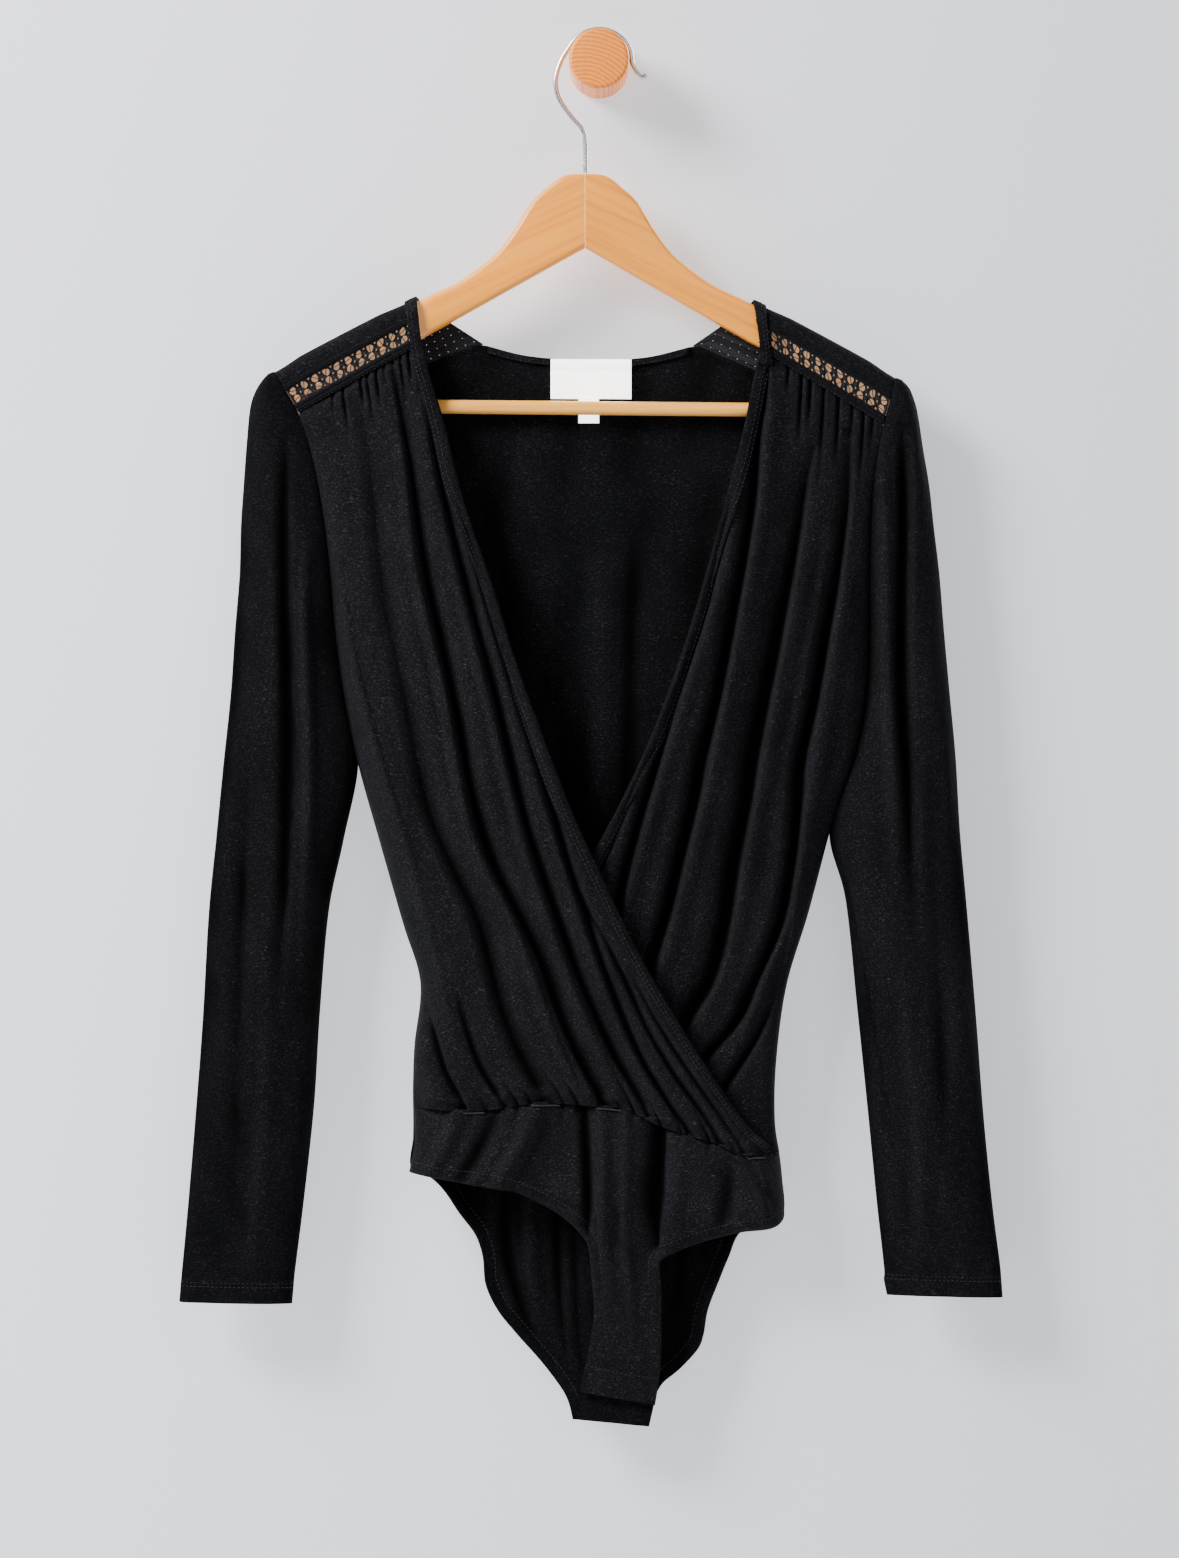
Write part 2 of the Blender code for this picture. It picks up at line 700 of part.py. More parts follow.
def brief_front():
    return Sheet(BRIEF_FRONT, BRIEF_FOLDS, BRIEF_HEIGHTS, top=waist, waves_at=brief_waves)


def brief_back():
    return Sheet(BRIEF_BACK, BRIEF_BACK_FOLDS, BRIEF_HEIGHTS, top=waist)


def spread(sheet, v, across, gaps, band=None):
    """The u of each column at one row: drawn in at the seams, with a band's width kept at one edge."""
    x0, _z0, x1, *_ = table_row(sheet.rows, v)
    width = abs(x1 - x0)
    start, end = gaps[0] / width, 1 - gaps[1] / width
    if band == "right":
        return [start + (1 - BAND_WIDE / width - start) * u for u in across] + [1.0]
    if band == "left":
        return [0.0] + [BAND_WIDE / width + (end - BAND_WIDE / width) * u for u in across]
    return [start + (end - start) * u for u in across]


def panel(name, sheet, across, down, seams=(None, None), top=0.0, bottom=0.0, band=None):
    """A panel's wall, drawn in at the armholes, top and bottom, and the band on its free edge."""
    grid, edge = [], []
    for v in down:
        gaps = [ARMHOLE_GAP * smooth_step(ARMPIT[side] + 0.6 - v) if side else 0.0 for side in seams]
        drop = Vector((0, 0, (bottom * (v == down[-1]) - top * (v == down[0])) * MM))
        places = spread(sheet, v, across, gaps, band)
        grid.append([sheet.point(u, v) + drop for u in places])
        if band:
            two = places[-2:] if band == "right" else places[:2]
            edge.append([sheet.out(u, v, BAND_LIFT) + drop for u in two])
    wall(name, grid)
    return edge


def make_panels(over, under, back):
    a, b = WAVE_SPAN
    fine = [0.0, 0.015, 0.045, 0.1, *steps(a, b, 2 * WAIST_WAVES), 0.94, 1.0]
    edge = panel("front_right", over, fine, steps(0, 13, 22), ("right", None), bottom=WAIST_GAP,
                 band="right")
    make_front_band("right", edge)
    across = [*steps(0.0, 0.86, 18), 0.92, 0.965, 0.988, 1.0]
    edge = panel("front_left", under, across, steps(0, 13, 20), (None, "left"), bottom=WAIST_GAP,
                 band="left")
    make_front_band("left", edge[:UNDER_BAND_ROWS])
    panel("back", back, crowded(15), steps(0, 13, 14), ("right", "left"), top=SEAM_GAP,
          bottom=WAIST_GAP)


def make_briefs(front, back):
    fine = [0.0, 0.015, 0.045, 0.1, *steps(0.18, 0.88, 20), 0.94, 0.98, 1.0]
    panel("brief_front", front, fine, steps(0, 14, 15), top=WAIST_GAP)
    panel("brief_back", back, crowded(13), steps(0, 14, 14), top=WAIST_GAP)


def make_shoulder(side):
    arch = [-YOKE_END, -0.28, -0.17, -0.08, -0.025, 0.0]
    down = arch + [-f for f in reversed(arch[:-1])]
    strips = (
        ("yoke", down, JERSEY, CLOTH),
        ("tape_upper", UPPER_TAPE, JERSEY, TAPE),
        ("tape_lower", LOWER_TAPE, JERSEY, TAPE),
        ("back_lace", [-f for f in reversed(steps(*BACK_LACE, 2))], LACE_YARN, CLOTH),
    )
    for name, shares, look, thick in strips:
        grid = [[shoulder_point(side, s, f) for s in arm_steps()] for f in shares]
        wall(f"{name}_{side}", grid, look, thick)


def teardrop(side, s, f, wide, tall, up):
    """A six-sided gap in the lace, pointed at one end, round its middle at s and f."""
    length = (FRONT_SEAM[side][2] - FRONT_SEAM[side][0]) / math.cos(math.radians(28))
    drop = 30.0
    shape = ((0, 0.5), (0.5, 0.12), (0.36, -0.36), (0, -0.5), (-0.36, -0.36), (-0.5, 0.12))
    return [shoulder_point(side, s + a * wide / abs(length), f - up * b * tall / drop)
            for a, b in shape]


def make_lace(side):
    top, low = LACE
    middle = (top + low) / 2
    rim = [shoulder_point(side, s, top) for s in steps(0, 1, 12)]
    rim += [shoulder_point(side, s, low) for s in reversed(steps(0, 1, 12))]
    loops = [rim]
    for i in range(LACE_HOLES):
        s = (i + 0.5) / LACE_HOLES
        for shift, up in ((-0.088, 1), (0.088, -1)):
            loops.append(teardrop(side, s, middle + shift, HOLE_WIDE, HOLE_TALL, up))
    curve = bpy.data.curves.new("lace", "CURVE")
    curve.dimensions = "2D"
    curve.fill_mode = "BOTH"
    curve.extrude = CLOTH * MM / 2
    for loop in loops:
        spline = curve.splines.new("POLY")
        spline.points.add(len(loop) - 1)
        spline.use_cyclic_u = True
        for point, place in zip(spline.points, loop):
            point.co = (place.x, place.z, 0, 1)
    obj = put(f"lace_{side}", curve, LACE_YARN)
    obj.rotation_euler = (math.radians(90), 0, 0)
    obj.location = (0, -(HANGER_DEPTH + ARCH_DEPTH) * MM, 0)


def make_front_band(side, edge):
    """The turned edge band, from just behind the ridge down the panel's crossing edge."""
    ridge = [-0.08, -0.025, 0.0, 0.025, 0.08, 0.17, 0.28, 0.36, 0.6, 0.97]
    share = BAND_WIDE / 97.0
    over = [[shoulder_out(side, s, f, BAND_LIFT) for s in (0.0, share)] for f in ridge]
    if side == "right":
        edge = [row[::-1] for row in edge]
    wall(f"front_band_{side}", over + edge[1:], JERSEY, TAPE)


def make_back_neck(back):
    """The narrow band inside the back neckline, a label under it and a size tab under that."""
    left, right = BACK_TOP[1][0], BACK_TOP[-2][0]
    lift = CLOTH / 2 + ON_TOP + TAPE / 2
    grid = [[], []]
    for x in steps(left + 2, right - 2, 16):
        top = back_top(x)
        for line, down in zip(grid, (1.0, NECK_BAND_WIDE)):
            line.append(back.out(*back.place(x, top - down), lift))
    wall("back_neck_band", grid, JERSEY, TAPE)
    flat = CLOTH / 2 + ON_TOP + 0.4
    for name, (x0, x1, top, low) in (("label", LABEL), ("size_tab", SIZE_TAB)):
        top -= 5.0 if name == "label" else 0.0
        grid = [[back.out(*back.place(x, z), flat) for x in steps(x0, x1, 4)]
                for z in steps(top, low, 2)]
        wall(name, grid, WHITE_TAPE, 0.8)


def make_snaps(front, back):
    for name, (x, z) in zip(("snap_right", "snap_left"), SNAPS):
        round_it = [(x + a, z + b) for a in (-SNAP_RADIUS, SNAP_RADIUS) for b in (-SNAP_RADIUS, SNAP_RADIUS)]
        near = min(-front.point(*front.place(*at)).y / MM for at in round_it) - CLOTH / 2 - ON_TOP
        far = max(-back.point(*back.place(*at)).y / MM for at in round_it) + CLOTH / 2 + ON_TOP
        bm = bmesh.new()
        bmesh.ops.create_cone(bm, cap_ends=True, segments=16, radius1=SNAP_RADIUS * MM,
                              radius2=SNAP_RADIUS * MM, depth=(near - far) * MM)
        for vert in bm.verts:
            a, b, c = vert.co
            vert.co = world(x, z, (near + far) / 2) + Vector((a, -c, b))
        bmesh.ops.recalc_face_normals(bm, faces=bm.faces)
        mesh = bpy.data.meshes.new(name)
        bm.to_mesh(mesh)
        bm.free()
        put(name, mesh, STEEL, smooth=False)


def main():
    for obj in list(bpy.data.objects):
        bpy.data.objects.remove(obj)
    over, under, back = front_over(), front_under(), back_sheet()
    front_brief, rear_brief = brief_front(), brief_back()
    make_peg()
    make_hook()
    make_rod()
    for side in ("right", "left"):
        make_arm(side)
        make_sleeve(side)
        make_shoulder(side)
        make_lace(side)
    make_panels(over, under, back)
    make_briefs(front_brief, rear_brief)
    make_back_neck(back)
    make_snaps(front_brief, rear_brief)


main()
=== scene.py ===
# %% [markdown]
# # A wrap bodysuit on a wooden hanger
#
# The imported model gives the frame: every solid is in its right place, in metres, with the wall at
# y = 0 and the garment's front facing -Y. This script dresses it. Each cloth piece is cut again as
# a fine grid on the same pattern, with its folds, hems and stitching, and the wood and wire are
# made again with smooth edges. "Depth" always means the distance out from the wall. Right and left
# are the wearer's, so the right side is on the left of the picture.

# %% Load the frame
import math

import bmesh
import bpy
import numpy as np
from mathutils import Matrix, Vector


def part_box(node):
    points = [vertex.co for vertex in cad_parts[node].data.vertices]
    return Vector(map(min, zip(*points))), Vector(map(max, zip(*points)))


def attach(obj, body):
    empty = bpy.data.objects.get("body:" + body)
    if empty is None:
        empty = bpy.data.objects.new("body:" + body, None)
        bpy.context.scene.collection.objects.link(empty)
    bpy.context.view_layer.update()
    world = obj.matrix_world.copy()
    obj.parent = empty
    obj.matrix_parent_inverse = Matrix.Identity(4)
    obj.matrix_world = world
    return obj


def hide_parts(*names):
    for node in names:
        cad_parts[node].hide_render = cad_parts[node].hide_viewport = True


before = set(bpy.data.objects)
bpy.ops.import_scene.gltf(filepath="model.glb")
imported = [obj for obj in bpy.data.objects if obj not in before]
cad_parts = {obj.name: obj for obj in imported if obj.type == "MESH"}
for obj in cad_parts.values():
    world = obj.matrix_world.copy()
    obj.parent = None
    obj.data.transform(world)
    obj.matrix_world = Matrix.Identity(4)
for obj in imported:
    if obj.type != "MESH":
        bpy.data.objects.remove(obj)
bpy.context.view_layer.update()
MM = 0.001
SIDES = ("right", "left")


# %% [markdown]
# ## Camera, wall and light
#
# The picture was taken straight on, from far enough away that nothing looks wide. A long lens
# does the same here. The wall is one sheet that only shows from its front, so that the garment's
# back can be looked at too.

# %% The camera
LENS = 122.3
CAMERA_SPOT = (-0.0065, -3.634, -0.4876)


def put(name, data):
    """An object with this data, linked into the scene."""
    obj = bpy.data.objects.new(name, data)
    bpy.context.collection.objects.link(obj)
    return obj


camera = put("straight_on", bpy.data.cameras.new("straight_on"))
camera.data.lens = LENS
camera.location = CAMERA_SPOT
camera.rotation_euler = (math.radians(90), 0, 0)
bpy.context.scene.camera = camera
print("camera:", round(-CAMERA_SPOT[1], 2), "m from the wall")


# %% Small helpers for materials
def settings(node, **sockets):
    """Give a node's sockets plain values. In the names here, _ stands for a space."""
    for socket, value in sockets.items():
        node.inputs[socket.replace("_", " ")].default_value = value
    return node


def new_material(name, **sockets):
    """A material whose shader has these plain values. Returns it, its nodes, links and shader."""
    made = bpy.data.materials.new(name)
    made.use_nodes = True
    nodes, links = made.node_tree.nodes, made.node_tree.links
    return made, nodes, links, settings(nodes["Principled BSDF"], **sockets)


def object_spots(nodes):
    """The place of each point in the object, in metres."""
    return nodes.new("ShaderNodeTexCoord").outputs["Object"]


def mapped(nodes, links, vector, **sockets):
    """The same coordinates, moved, turned or scaled."""
    node = settings(nodes.new("ShaderNodeMapping"), **sockets)
    links.new(vector, node.inputs["Vector"])
    return node.outputs["Vector"]


def named_map(nodes, attribute):
    """What the piece's own mesh stores under this name."""
    source = nodes.new("ShaderNodeAttribute")
    source.attribute_name = attribute
    return source


def own_map(nodes, links, scale=(1, 1, 1), attribute="cloth"):
    """Coordinates from the piece's own map, in metres, so that a pattern follows the surface."""
    return mapped(nodes, links, named_map(nodes, attribute).outputs["Vector"], Scale=scale)


def noise(nodes, links, vector, scale, detail=2.0, rough=0.5):
    node = settings(nodes.new("ShaderNodeTexNoise"), Scale=scale, Detail=detail, Roughness=rough)
    links.new(vector, node.inputs["Vector"])
    return node.outputs["Fac"]


def waves(nodes, links, vector, direction, kind="BANDS", **sockets):
    """Bands that follow one another in a direction, or rings round it."""
    node = settings(nodes.new("ShaderNodeTexWave"), **sockets)
    node.wave_type = kind
    node.bands_direction = node.rings_direction = direction
    links.new(vector, node.inputs["Vector"])
    return node.outputs["Fac"]


def calculated(nodes, links, operation, *values):
    """One step of arithmetic on plain numbers and on what other nodes give."""
    node = nodes.new("ShaderNodeMath")
    node.operation = operation
    for socket, value in zip(node.inputs, values):
        if isinstance(value, float):
            socket.default_value = value
        else:
            links.new(value, socket)
    return node.outputs[0]


def sideways(nodes, links):
    """How far to the side each point lies, its x."""
    parts = nodes.new("ShaderNodeSeparateXYZ")
    links.new(object_spots(nodes), parts.inputs["Vector"])
    return parts.outputs["X"]


def ranged(nodes, links, value, from_min, from_max, to_min, to_max):
    """The value, carried from one range into another and held inside it."""
    node = settings(nodes.new("ShaderNodeMapRange"), From_Min=from_min, From_Max=from_max,
                    To_Min=to_min, To_Max=to_max)
    links.new(value, node.inputs["Value"])
    return node.outputs["Result"]


def ramp(nodes, links, value, *stops):
    """Colours by value. Each stop is a place and a colour, or one grey number."""
    node = nodes.new("ShaderNodeValToRGB")
    links.new(value, node.inputs["Fac"])
    elements = node.color_ramp.elements
    while len(elements) < len(stops):
        elements.new(0.5)
    for element, (place, colour) in zip(elements, stops):
        element.position = place
        if isinstance(colour, (int, float)):
            colour = (colour,) * 3
        element.color = (*colour, 1.0)
    return node.outputs["Color"]


def blend_colours(nodes, links, amount, first, second, kind="MIX"):
    node = nodes.new("ShaderNodeMix")
    node.data_type = "RGBA"
    node.blend_type = kind
    for socket, value in (("Factor", amount), ("A", first), ("B", second)):
        target = next(s for s in node.inputs if s.name == socket and s.type in
                      (("VALUE",) if socket == "Factor" else ("RGBA",)))
        if isinstance(value, (int, float, tuple)):
            target.default_value = value
        else:
            links.new(value, target)
    return next(s for s in node.outputs if s.type == "RGBA")


def raised(nodes, links, shader, height, strength, distance):
    node = settings(nodes.new("ShaderNodeBump"), Strength=strength, Distance=distance)
    links.new(height, node.inputs["Height"])
    links.new(node.outputs["Normal"], shader.inputs["Normal"])


# %% The wall and the floor
WALL, FLOOR, WALL_PAINTED_LIGHT = (0.50, 0.507, 0.535), (0.62, 0.63, 0.64), (0.91, 0.94, 1.0)
HALF_WIDE, WALL_BEHIND, FLOOR_HEIGHT, WALL_TOP, FLOOR_REACH = 4, 0.0012, -1.6, 3, 5


def mesh_from(bm, name):
    """The finished bmesh as a mesh."""
    mesh = bpy.data.meshes.new(name)
    bm.to_mesh(mesh)
    bm.free()
    return mesh


def stage_plane(name, first, second, tint):
    """One face between two opposite corners, which isn't part of the object."""
    (y0, z0), (y1, z1) = first, second
    bm = bmesh.new()
    bm.faces.new([bm.verts.new(corner) for corner in (
        (-HALF_WIDE, y0, z0), (HALF_WIDE, y0, z0), (HALF_WIDE, y1, z1), (-HALF_WIDE, y1, z1))])
    obj = put(name, mesh_from(bm, name))
    made, nodes, links, shader = new_material(name, Base_Color=(*tint, 1), Roughness=0.95)
    obj.data.materials.append(made)
    return nodes, links, shader


nodes, links, shader = stage_plane("wall_behind", (WALL_BEHIND, FLOOR_HEIGHT),
                                   (WALL_BEHIND, WALL_TOP), WALL)
# Painted light: the wall glows, more on the left towards the key lamp, and the glow pales the
# shadows that the garment casts on it
settings(shader, Emission_Color=(*WALL_PAINTED_LIGHT, 1))
links.new(ranged(nodes, links, sideways(nodes, links), -0.45, 0.35, 0.95, 0.60),
          shader.inputs["Emission Strength"])
stage_plane("floor_below", (-FLOOR_REACH, FLOOR_HEIGHT), (FLOOR_REACH, FLOOR_HEIGHT), FLOOR)

# %% The wall is clear from behind, and lets the rear lamps through
clear = nodes.new("ShaderNodeBsdfTransparent")
either = calculated(nodes, links, "MAXIMUM",
                    nodes.new("ShaderNodeNewGeometry").outputs["Backfacing"],
                    nodes.new("ShaderNodeLightPath").outputs["Is Shadow Ray"])
mixed = nodes.new("ShaderNodeMixShader")
for output, socket in ((either, 0), (shader.outputs["BSDF"], 1), (clear.outputs["BSDF"], 2)):
    links.new(output, mixed.inputs[socket])
links.new(mixed.outputs["Shader"], nodes["Material Output"].inputs["Surface"])


# %% Soft studio light, from the upper left and in front, as the folds show
LIT = Vector((0, -0.03, -0.45))
LAMPS = (
    ("key", (-2.0, -1.5, 1.25), 1.1, 215, (1, 1, 1)),
    ("fill", (1.2, -3.2, 0.6), 2.0, 22, (0.95, 0.97, 1.0)),
    ("rear_key", (2.6, 1.7, 0.9), 1.2, 230, (1, 1, 1)),
    ("rear_fill", (-1.8, 2.6, -0.2), 1.6, 60, (1, 1, 1)),
)
for name, spot, size, power, tint in LAMPS:
    lamp = put(name, bpy.data.lights.new(name, "AREA"))
    lamp.data.size, lamp.data.energy, lamp.data.color = size, power, tint
    lamp.location = spot
    lamp.rotation_euler = (LIT - Vector(spot)).to_track_quat("-Z", "Y").to_euler()
world = bpy.data.worlds.new("room")
world.use_nodes = True
settings(world.node_tree.nodes["Background"], Color=(0.86, 0.88, 0.93, 1), Strength=0.25)
bpy.context.scene.world = world
print("lamps:", [lamp[0] for lamp in LAMPS])

# %% [markdown]
# ## Finishes
#
# The jersey is a knit: columns of tiny loops, too small to see one by one, with short pale fibres
# that stand up from them. It could be an image, but a pattern worked out by the material never
# repeats. The loops read the cloth's own map, so that they follow every fold, and the fibres read
# the object's coordinates, so that they keep one size on every piece. Each piece also carries one
# number per point that says how deep in a fold the point lies, and its jersey's colour is painted
# darker by it: painted shade, blackest deep in a fold and a little paler on a ridge. Each piece
# also has its own amount of painted shade where it has no folds.

# %% Black jersey
LOOP_BANDS = 418.87
SHORT_FIBRES, LOOSE_HAIRS, CLOUDS = 1350.0, 900.0, 30.0


def lying(nodes, links, squeeze, turn):
    """Coordinates in which a round speck becomes a short fibre that lies across the piece."""
    return mapped(nodes, links, object_spots(nodes), Scale=(squeeze, 1, 1), Rotation=(0, turn, 0))


def make_jersey(name, dark, fibre):
    made, nodes, links, shader = new_material(
        name, Roughness=0.9, Sheen_Weight=0.006, Sheen_Roughness=0.5,
        Sheen_Tint=(0.72, 0.74, 0.86, 1), Specular_IOR_Level=0.03)
    flat = own_map(nodes, links)
    short = noise(nodes, links, lying(nodes, links, 0.5, 0.15), SHORT_FIBRES, 2.0, 0.55)
    hairs = noise(nodes, links, lying(nodes, links, 0.3, -0.6), LOOSE_HAIRS, 1.0)
    base = ramp(nodes, links, short, (0.38, dark), (0.56, tuple(c * 1.6 for c in dark)),
                (0.72, fibre))
    loose = ramp(nodes, links, hairs, (0.68, 0.0), (0.78, 1.0))
    base = blend_colours(nodes, links, loose, base, (*(c * 1.3 for c in fibre), 1.0))
    soft = ramp(nodes, links, noise(nodes, links, flat, CLOUDS, 3.0), (0.3, 0.75), (0.7, 1.0))
    tone = blend_colours(nodes, links, 1.0, base, soft, "MULTIPLY")
    # Painted shade: the colour is darkened deep in the folds and by the piece's own flat amount,
    # and painted a little paler on the ridges
    pressed = ramp(nodes, links, named_map(nodes, "fold_shade_paint").outputs["Fac"], (0.12, 1.0),
                   (0.5, 0.42), (0.9, 0.05))
    links.new(blend_colours(nodes, links, 1.0, tone, pressed, "MULTIPLY"),
              shader.inputs["Base Color"])
    loops = waves(nodes, links, flat, "X", Scale=LOOP_BANDS, Distortion=1.2, Detail=1.0,
                  Detail_Scale=3.0)
    relief = calculated(nodes, links, "MULTIPLY_ADD", loops, 0.35, short)
    raised(nodes, links, shader, relief, 0.45, 0.0004)
    return made


JERSEY = make_jersey("black_jersey", (0.0056, 0.0055, 0.0065), (0.0305, 0.030, 0.0352))
TAPE_JERSEY = make_jersey("stitched_tape", (0.0054, 0.0053, 0.0063), (0.026, 0.0255, 0.031))


# %% Crochet yarn and sewing thread
def make_yarn(name, colour, light, scale):
    made, nodes, links, shader = new_material(name, Roughness=0.75, Sheen_Weight=0.012,
                                              Sheen_Roughness=0.4, Specular_IOR_Level=0.08)
    strands = noise(nodes, links, object_spots(nodes), scale, 3.0, 0.6)
    links.new(ramp(nodes, links, strands, (0.35, colour), (0.72, light)),
              shader.inputs["Base Color"])
    raised(nodes, links, shader, strands, 0.6, 0.0003)
    return made


LACE_YARN = make_yarn("crochet_yarn", (0.005, 0.005, 0.006), (0.024, 0.024, 0.028), 1300.0)
THREAD = make_yarn("sewing_thread", (0.009, 0.009, 0.0105), (0.045, 0.045, 0.052), 1600.0)
PIPING_CORD = make_yarn("waist_cord", (0.014, 0.014, 0.016), (0.055, 0.055, 0.06), 1100.0)


# %% [markdown]
# Wood is long fibres. On the hanger they run along each arm, so the arm carries a map of its own
# whose first axis lies along it, and the grain is a noise stretched on that axis. The peg shows
# its end, where the yearly rings are cut across. The arms also carry painted light: they glow a
# little where the lace lies on them, so that the wood shows bright through the lace's holes.

# %% Beech
LACE_PAINTED_GLOW = (0.112, 0.13)
def make_wood(name, light, mid, dark, along=5.0, across=150.0):
    made, nodes, links, shader = new_material(name, Roughness=0.42, Coat_Weight=0.25,
                                              Coat_Roughness=0.3)
    fibres = own_map(nodes, links, (along, across, across), "grain")
    broad = own_map(nodes, links, (along * 0.5, across * 0.25, across * 0.25), "grain")
    fine = noise(nodes, links, fibres, 1.6, 6.0, 0.62)
    wide = noise(nodes, links, broad, 1.3, 3.0)
    tone = ramp(nodes, links, fine, (0.25, dark), (0.52, mid), (0.8, light))
    patch = ramp(nodes, links, wide, (0.3, 0.82), (0.7, 1.0))
    links.new(blend_colours(nodes, links, 1.0, tone, patch, "MULTIPLY"),
              shader.inputs["Base Color"])
    close = own_map(nodes, links, (along * 18, across * 5, across * 5), "grain")
    raised(nodes, links, shader, noise(nodes, links, close, 1.0), 0.18, 0.0003)
    return made, nodes, links, shader


BEECH, nodes, links, shader = make_wood("pale_beech", (1.0, 0.405, 0.022), (0.98, 0.335, 0.010),
                                        (0.82, 0.23, 0.005))
# Painted light: the arms glow, warm, from where the shoulder band begins over them out to their
# ends
reach = calculated(nodes, links, "ABSOLUTE", sideways(nodes, links))
links.new(ranged(nodes, links, reach, *LACE_PAINTED_GLOW, 0.0, 0.42), shader.inputs["Emission Strength"])
settings(shader, Emission_Color=(1.0, 0.64, 0.40, 1))
# Painted light: the rod's beech is paler than the arms', to offset the shade it hangs in
ROD_WOOD_PAINTED_PALER = make_wood("rod_beech_painted_paler", (1.0, 0.52, 0.10), (0.99, 0.46, 0.075), (0.86, 0.34, 0.040))[0]

# %% The peg's end grain, and the drawn wire
PITH = (0.011, 0, 0.034)
PEG_WOOD, nodes, links, shader = new_material("peg_oak", Roughness=0.5, Coat_Weight=0.15,
                                              Coat_Roughness=0.35)
spot = object_spots(nodes)
rings = waves(nodes, links, mapped(nodes, links, spot, Location=PITH), "Y", "RINGS", Scale=110.0,
              Distortion=2.4, Detail=3.0, Detail_Scale=0.7)
ring_tone = ramp(nodes, links, rings, (0.0, (0.76, 0.17, 0.002)),
                 (0.6, (0.90, 0.23, 0.003)), (1.0, (0.98, 0.30, 0.006)))
speckle = ramp(nodes, links, noise(nodes, links, spot, 900.0, 2.0), (0.35, 0.86), (0.6, 1.0))
links.new(blend_colours(nodes, links, 1.0, ring_tone, speckle, "MULTIPLY"),
          shader.inputs["Base Color"])
raised(nodes, links, shader, noise(nodes, links, spot, 500.0), 0.12, 0.0003)

STEEL, nodes, links, shader = new_material("bright_wire", Base_Color=(0.62, 0.62, 0.63, 1),
                                           Metallic=1.0, Roughness=0.28)
drawn_lines = noise(nodes, links, object_spots(nodes), 700.0)
links.new(ramp(nodes, links, drawn_lines, (0.3, 0.2), (0.7, 0.36)), shader.inputs["Roughness"])
raised(nodes, links, shader, drawn_lines, 0.05, 0.0002)


# %% Woven label tape: plain weave, white and a little glossy, with nothing on it
# Painted light: the tape glows, so that it stays white in the shade inside the back neck
WHITE_TAPE_PAINTED_GLOW, nodes, links, shader = new_material(
    "white_tape_painted_glow", Roughness=0.62, Sheen_Weight=0.2, Emission_Color=(1.0, 0.985, 0.95, 1),
    Emission_Strength=3.2)
weave_map = own_map(nodes, links)
links.new(ramp(nodes, links, noise(nodes, links, weave_map, 700.0), (0.3, (0.90, 0.89, 0.86)),
               (0.7, (0.99, 0.98, 0.95))), shader.inputs["Base Color"])
raised(nodes, links, shader, waves(nodes, links, weave_map, "Y", Scale=560.0, Distortion=0.6),
       0.2, 0.0002)
print("finishes:", [made.name for made in bpy.data.materials])

# %% [markdown]
# ## Tools for shapes
#
# A cloth piece begins as a flat grid of squares, as cloth begins flat on the cutting table. Each
# point of the grid has a place across, u, and down, v, both from 0 to 1. A function then says where
# in the room that point hangs. The grid keeps its own map in metres, and Solidify gives it the
# thickness of the cloth.

# %% Sizes of the garment, in millimetres
CLOTH, TAPE = 1.2, 1.6
ON_TOP, SEAM = 0.3, 0.3
HANGER_DEPTH = 34.0
PIECES = []


def outwards(side):
    """Which way is out from the middle on this side of the picture: -1 to the left."""
    return -1 if side == "right" else 1


def room(x, height, depth):
    """Places in the room, in metres, from millimetres across, up and out from the wall."""
    x, height, depth = np.broadcast_arrays(x, height, depth)
    return np.stack((x * MM, -depth * MM, height * MM), axis=-1)


def ease(t):
    t = np.clip(t, 0.0, 1.0)
    return t * t * (3 - 2 * t)


def read_rows(rows, t):
    """A smooth curve through the rows of a table, read at t, where t = 1 is the second row."""
    rows = np.asarray(rows, float)
    t = np.asarray(t, float)
    last = len(rows) - 1
    i = np.clip(t.astype(int), 0, last - 1)
    f = (t - i)[..., None]
    a, b, c, d = (rows[np.clip(i + k, 0, last)] for k in (-1, 0, 1, 2))
    return b + 0.5 * f * (c - a + f * (2 * a - 5 * b + 4 * c - d + f * (3 * (b - c) + d - a)))


def smooth_line(points, parts=8):
    """More points on a smooth curve through these."""
    last = len(points) - 1
    return read_rows(points, np.linspace(0, last, last * parts + 1))


def finish_piece(name, mesh, look, nodes=()):
    """Put the mesh in the scene as a piece that rides on the body and stands for these nodes."""
    mesh.name = name
    obj = put(name, mesh)
    mesh.materials.clear()
    mesh.materials.append(look)
    mesh.shade_smooth()
    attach(obj, "root")
    if nodes:
        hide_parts(*nodes)
    PIECES.append(obj)
    return obj


def blurred(grid, reach, axis, wrap=False):
    """The mean of each value and its neighbours along one axis of a grid."""
    size, total = grid.shape[axis], 0.0
    for k in range(-reach, reach + 1):
        places = np.arange(size) + k
        total = total + np.take(grid, places % size if wrap else np.clip(places, 0, size - 1), axis)
    return total / (2 * reach + 1)


NEAR_AND_FAR = (5, 14)
SHADE_PAINTED_BELOW, LIGHT_PAINTED_ABOVE = 0.15, 0.04


def painted_fold_shade(out, tube, flat):
    """From 0 on a ridge to 1 deep in a fold: how far each point lies below the cloth round it."""
    # Painted shade for the jersey's colour: deeper in a fold is darker, higher on a ridge is paler,
    # on top of the piece's flat amount
    below = sum(blurred(blurred(out, reach, 1, tube), reach // 2, 0) - out
                for reach in NEAR_AND_FAR)
    return np.clip(flat + np.where(below > 0, SHADE_PAINTED_BELOW, LIGHT_PAINTED_ABOVE) * below, 0.0, 1.0)


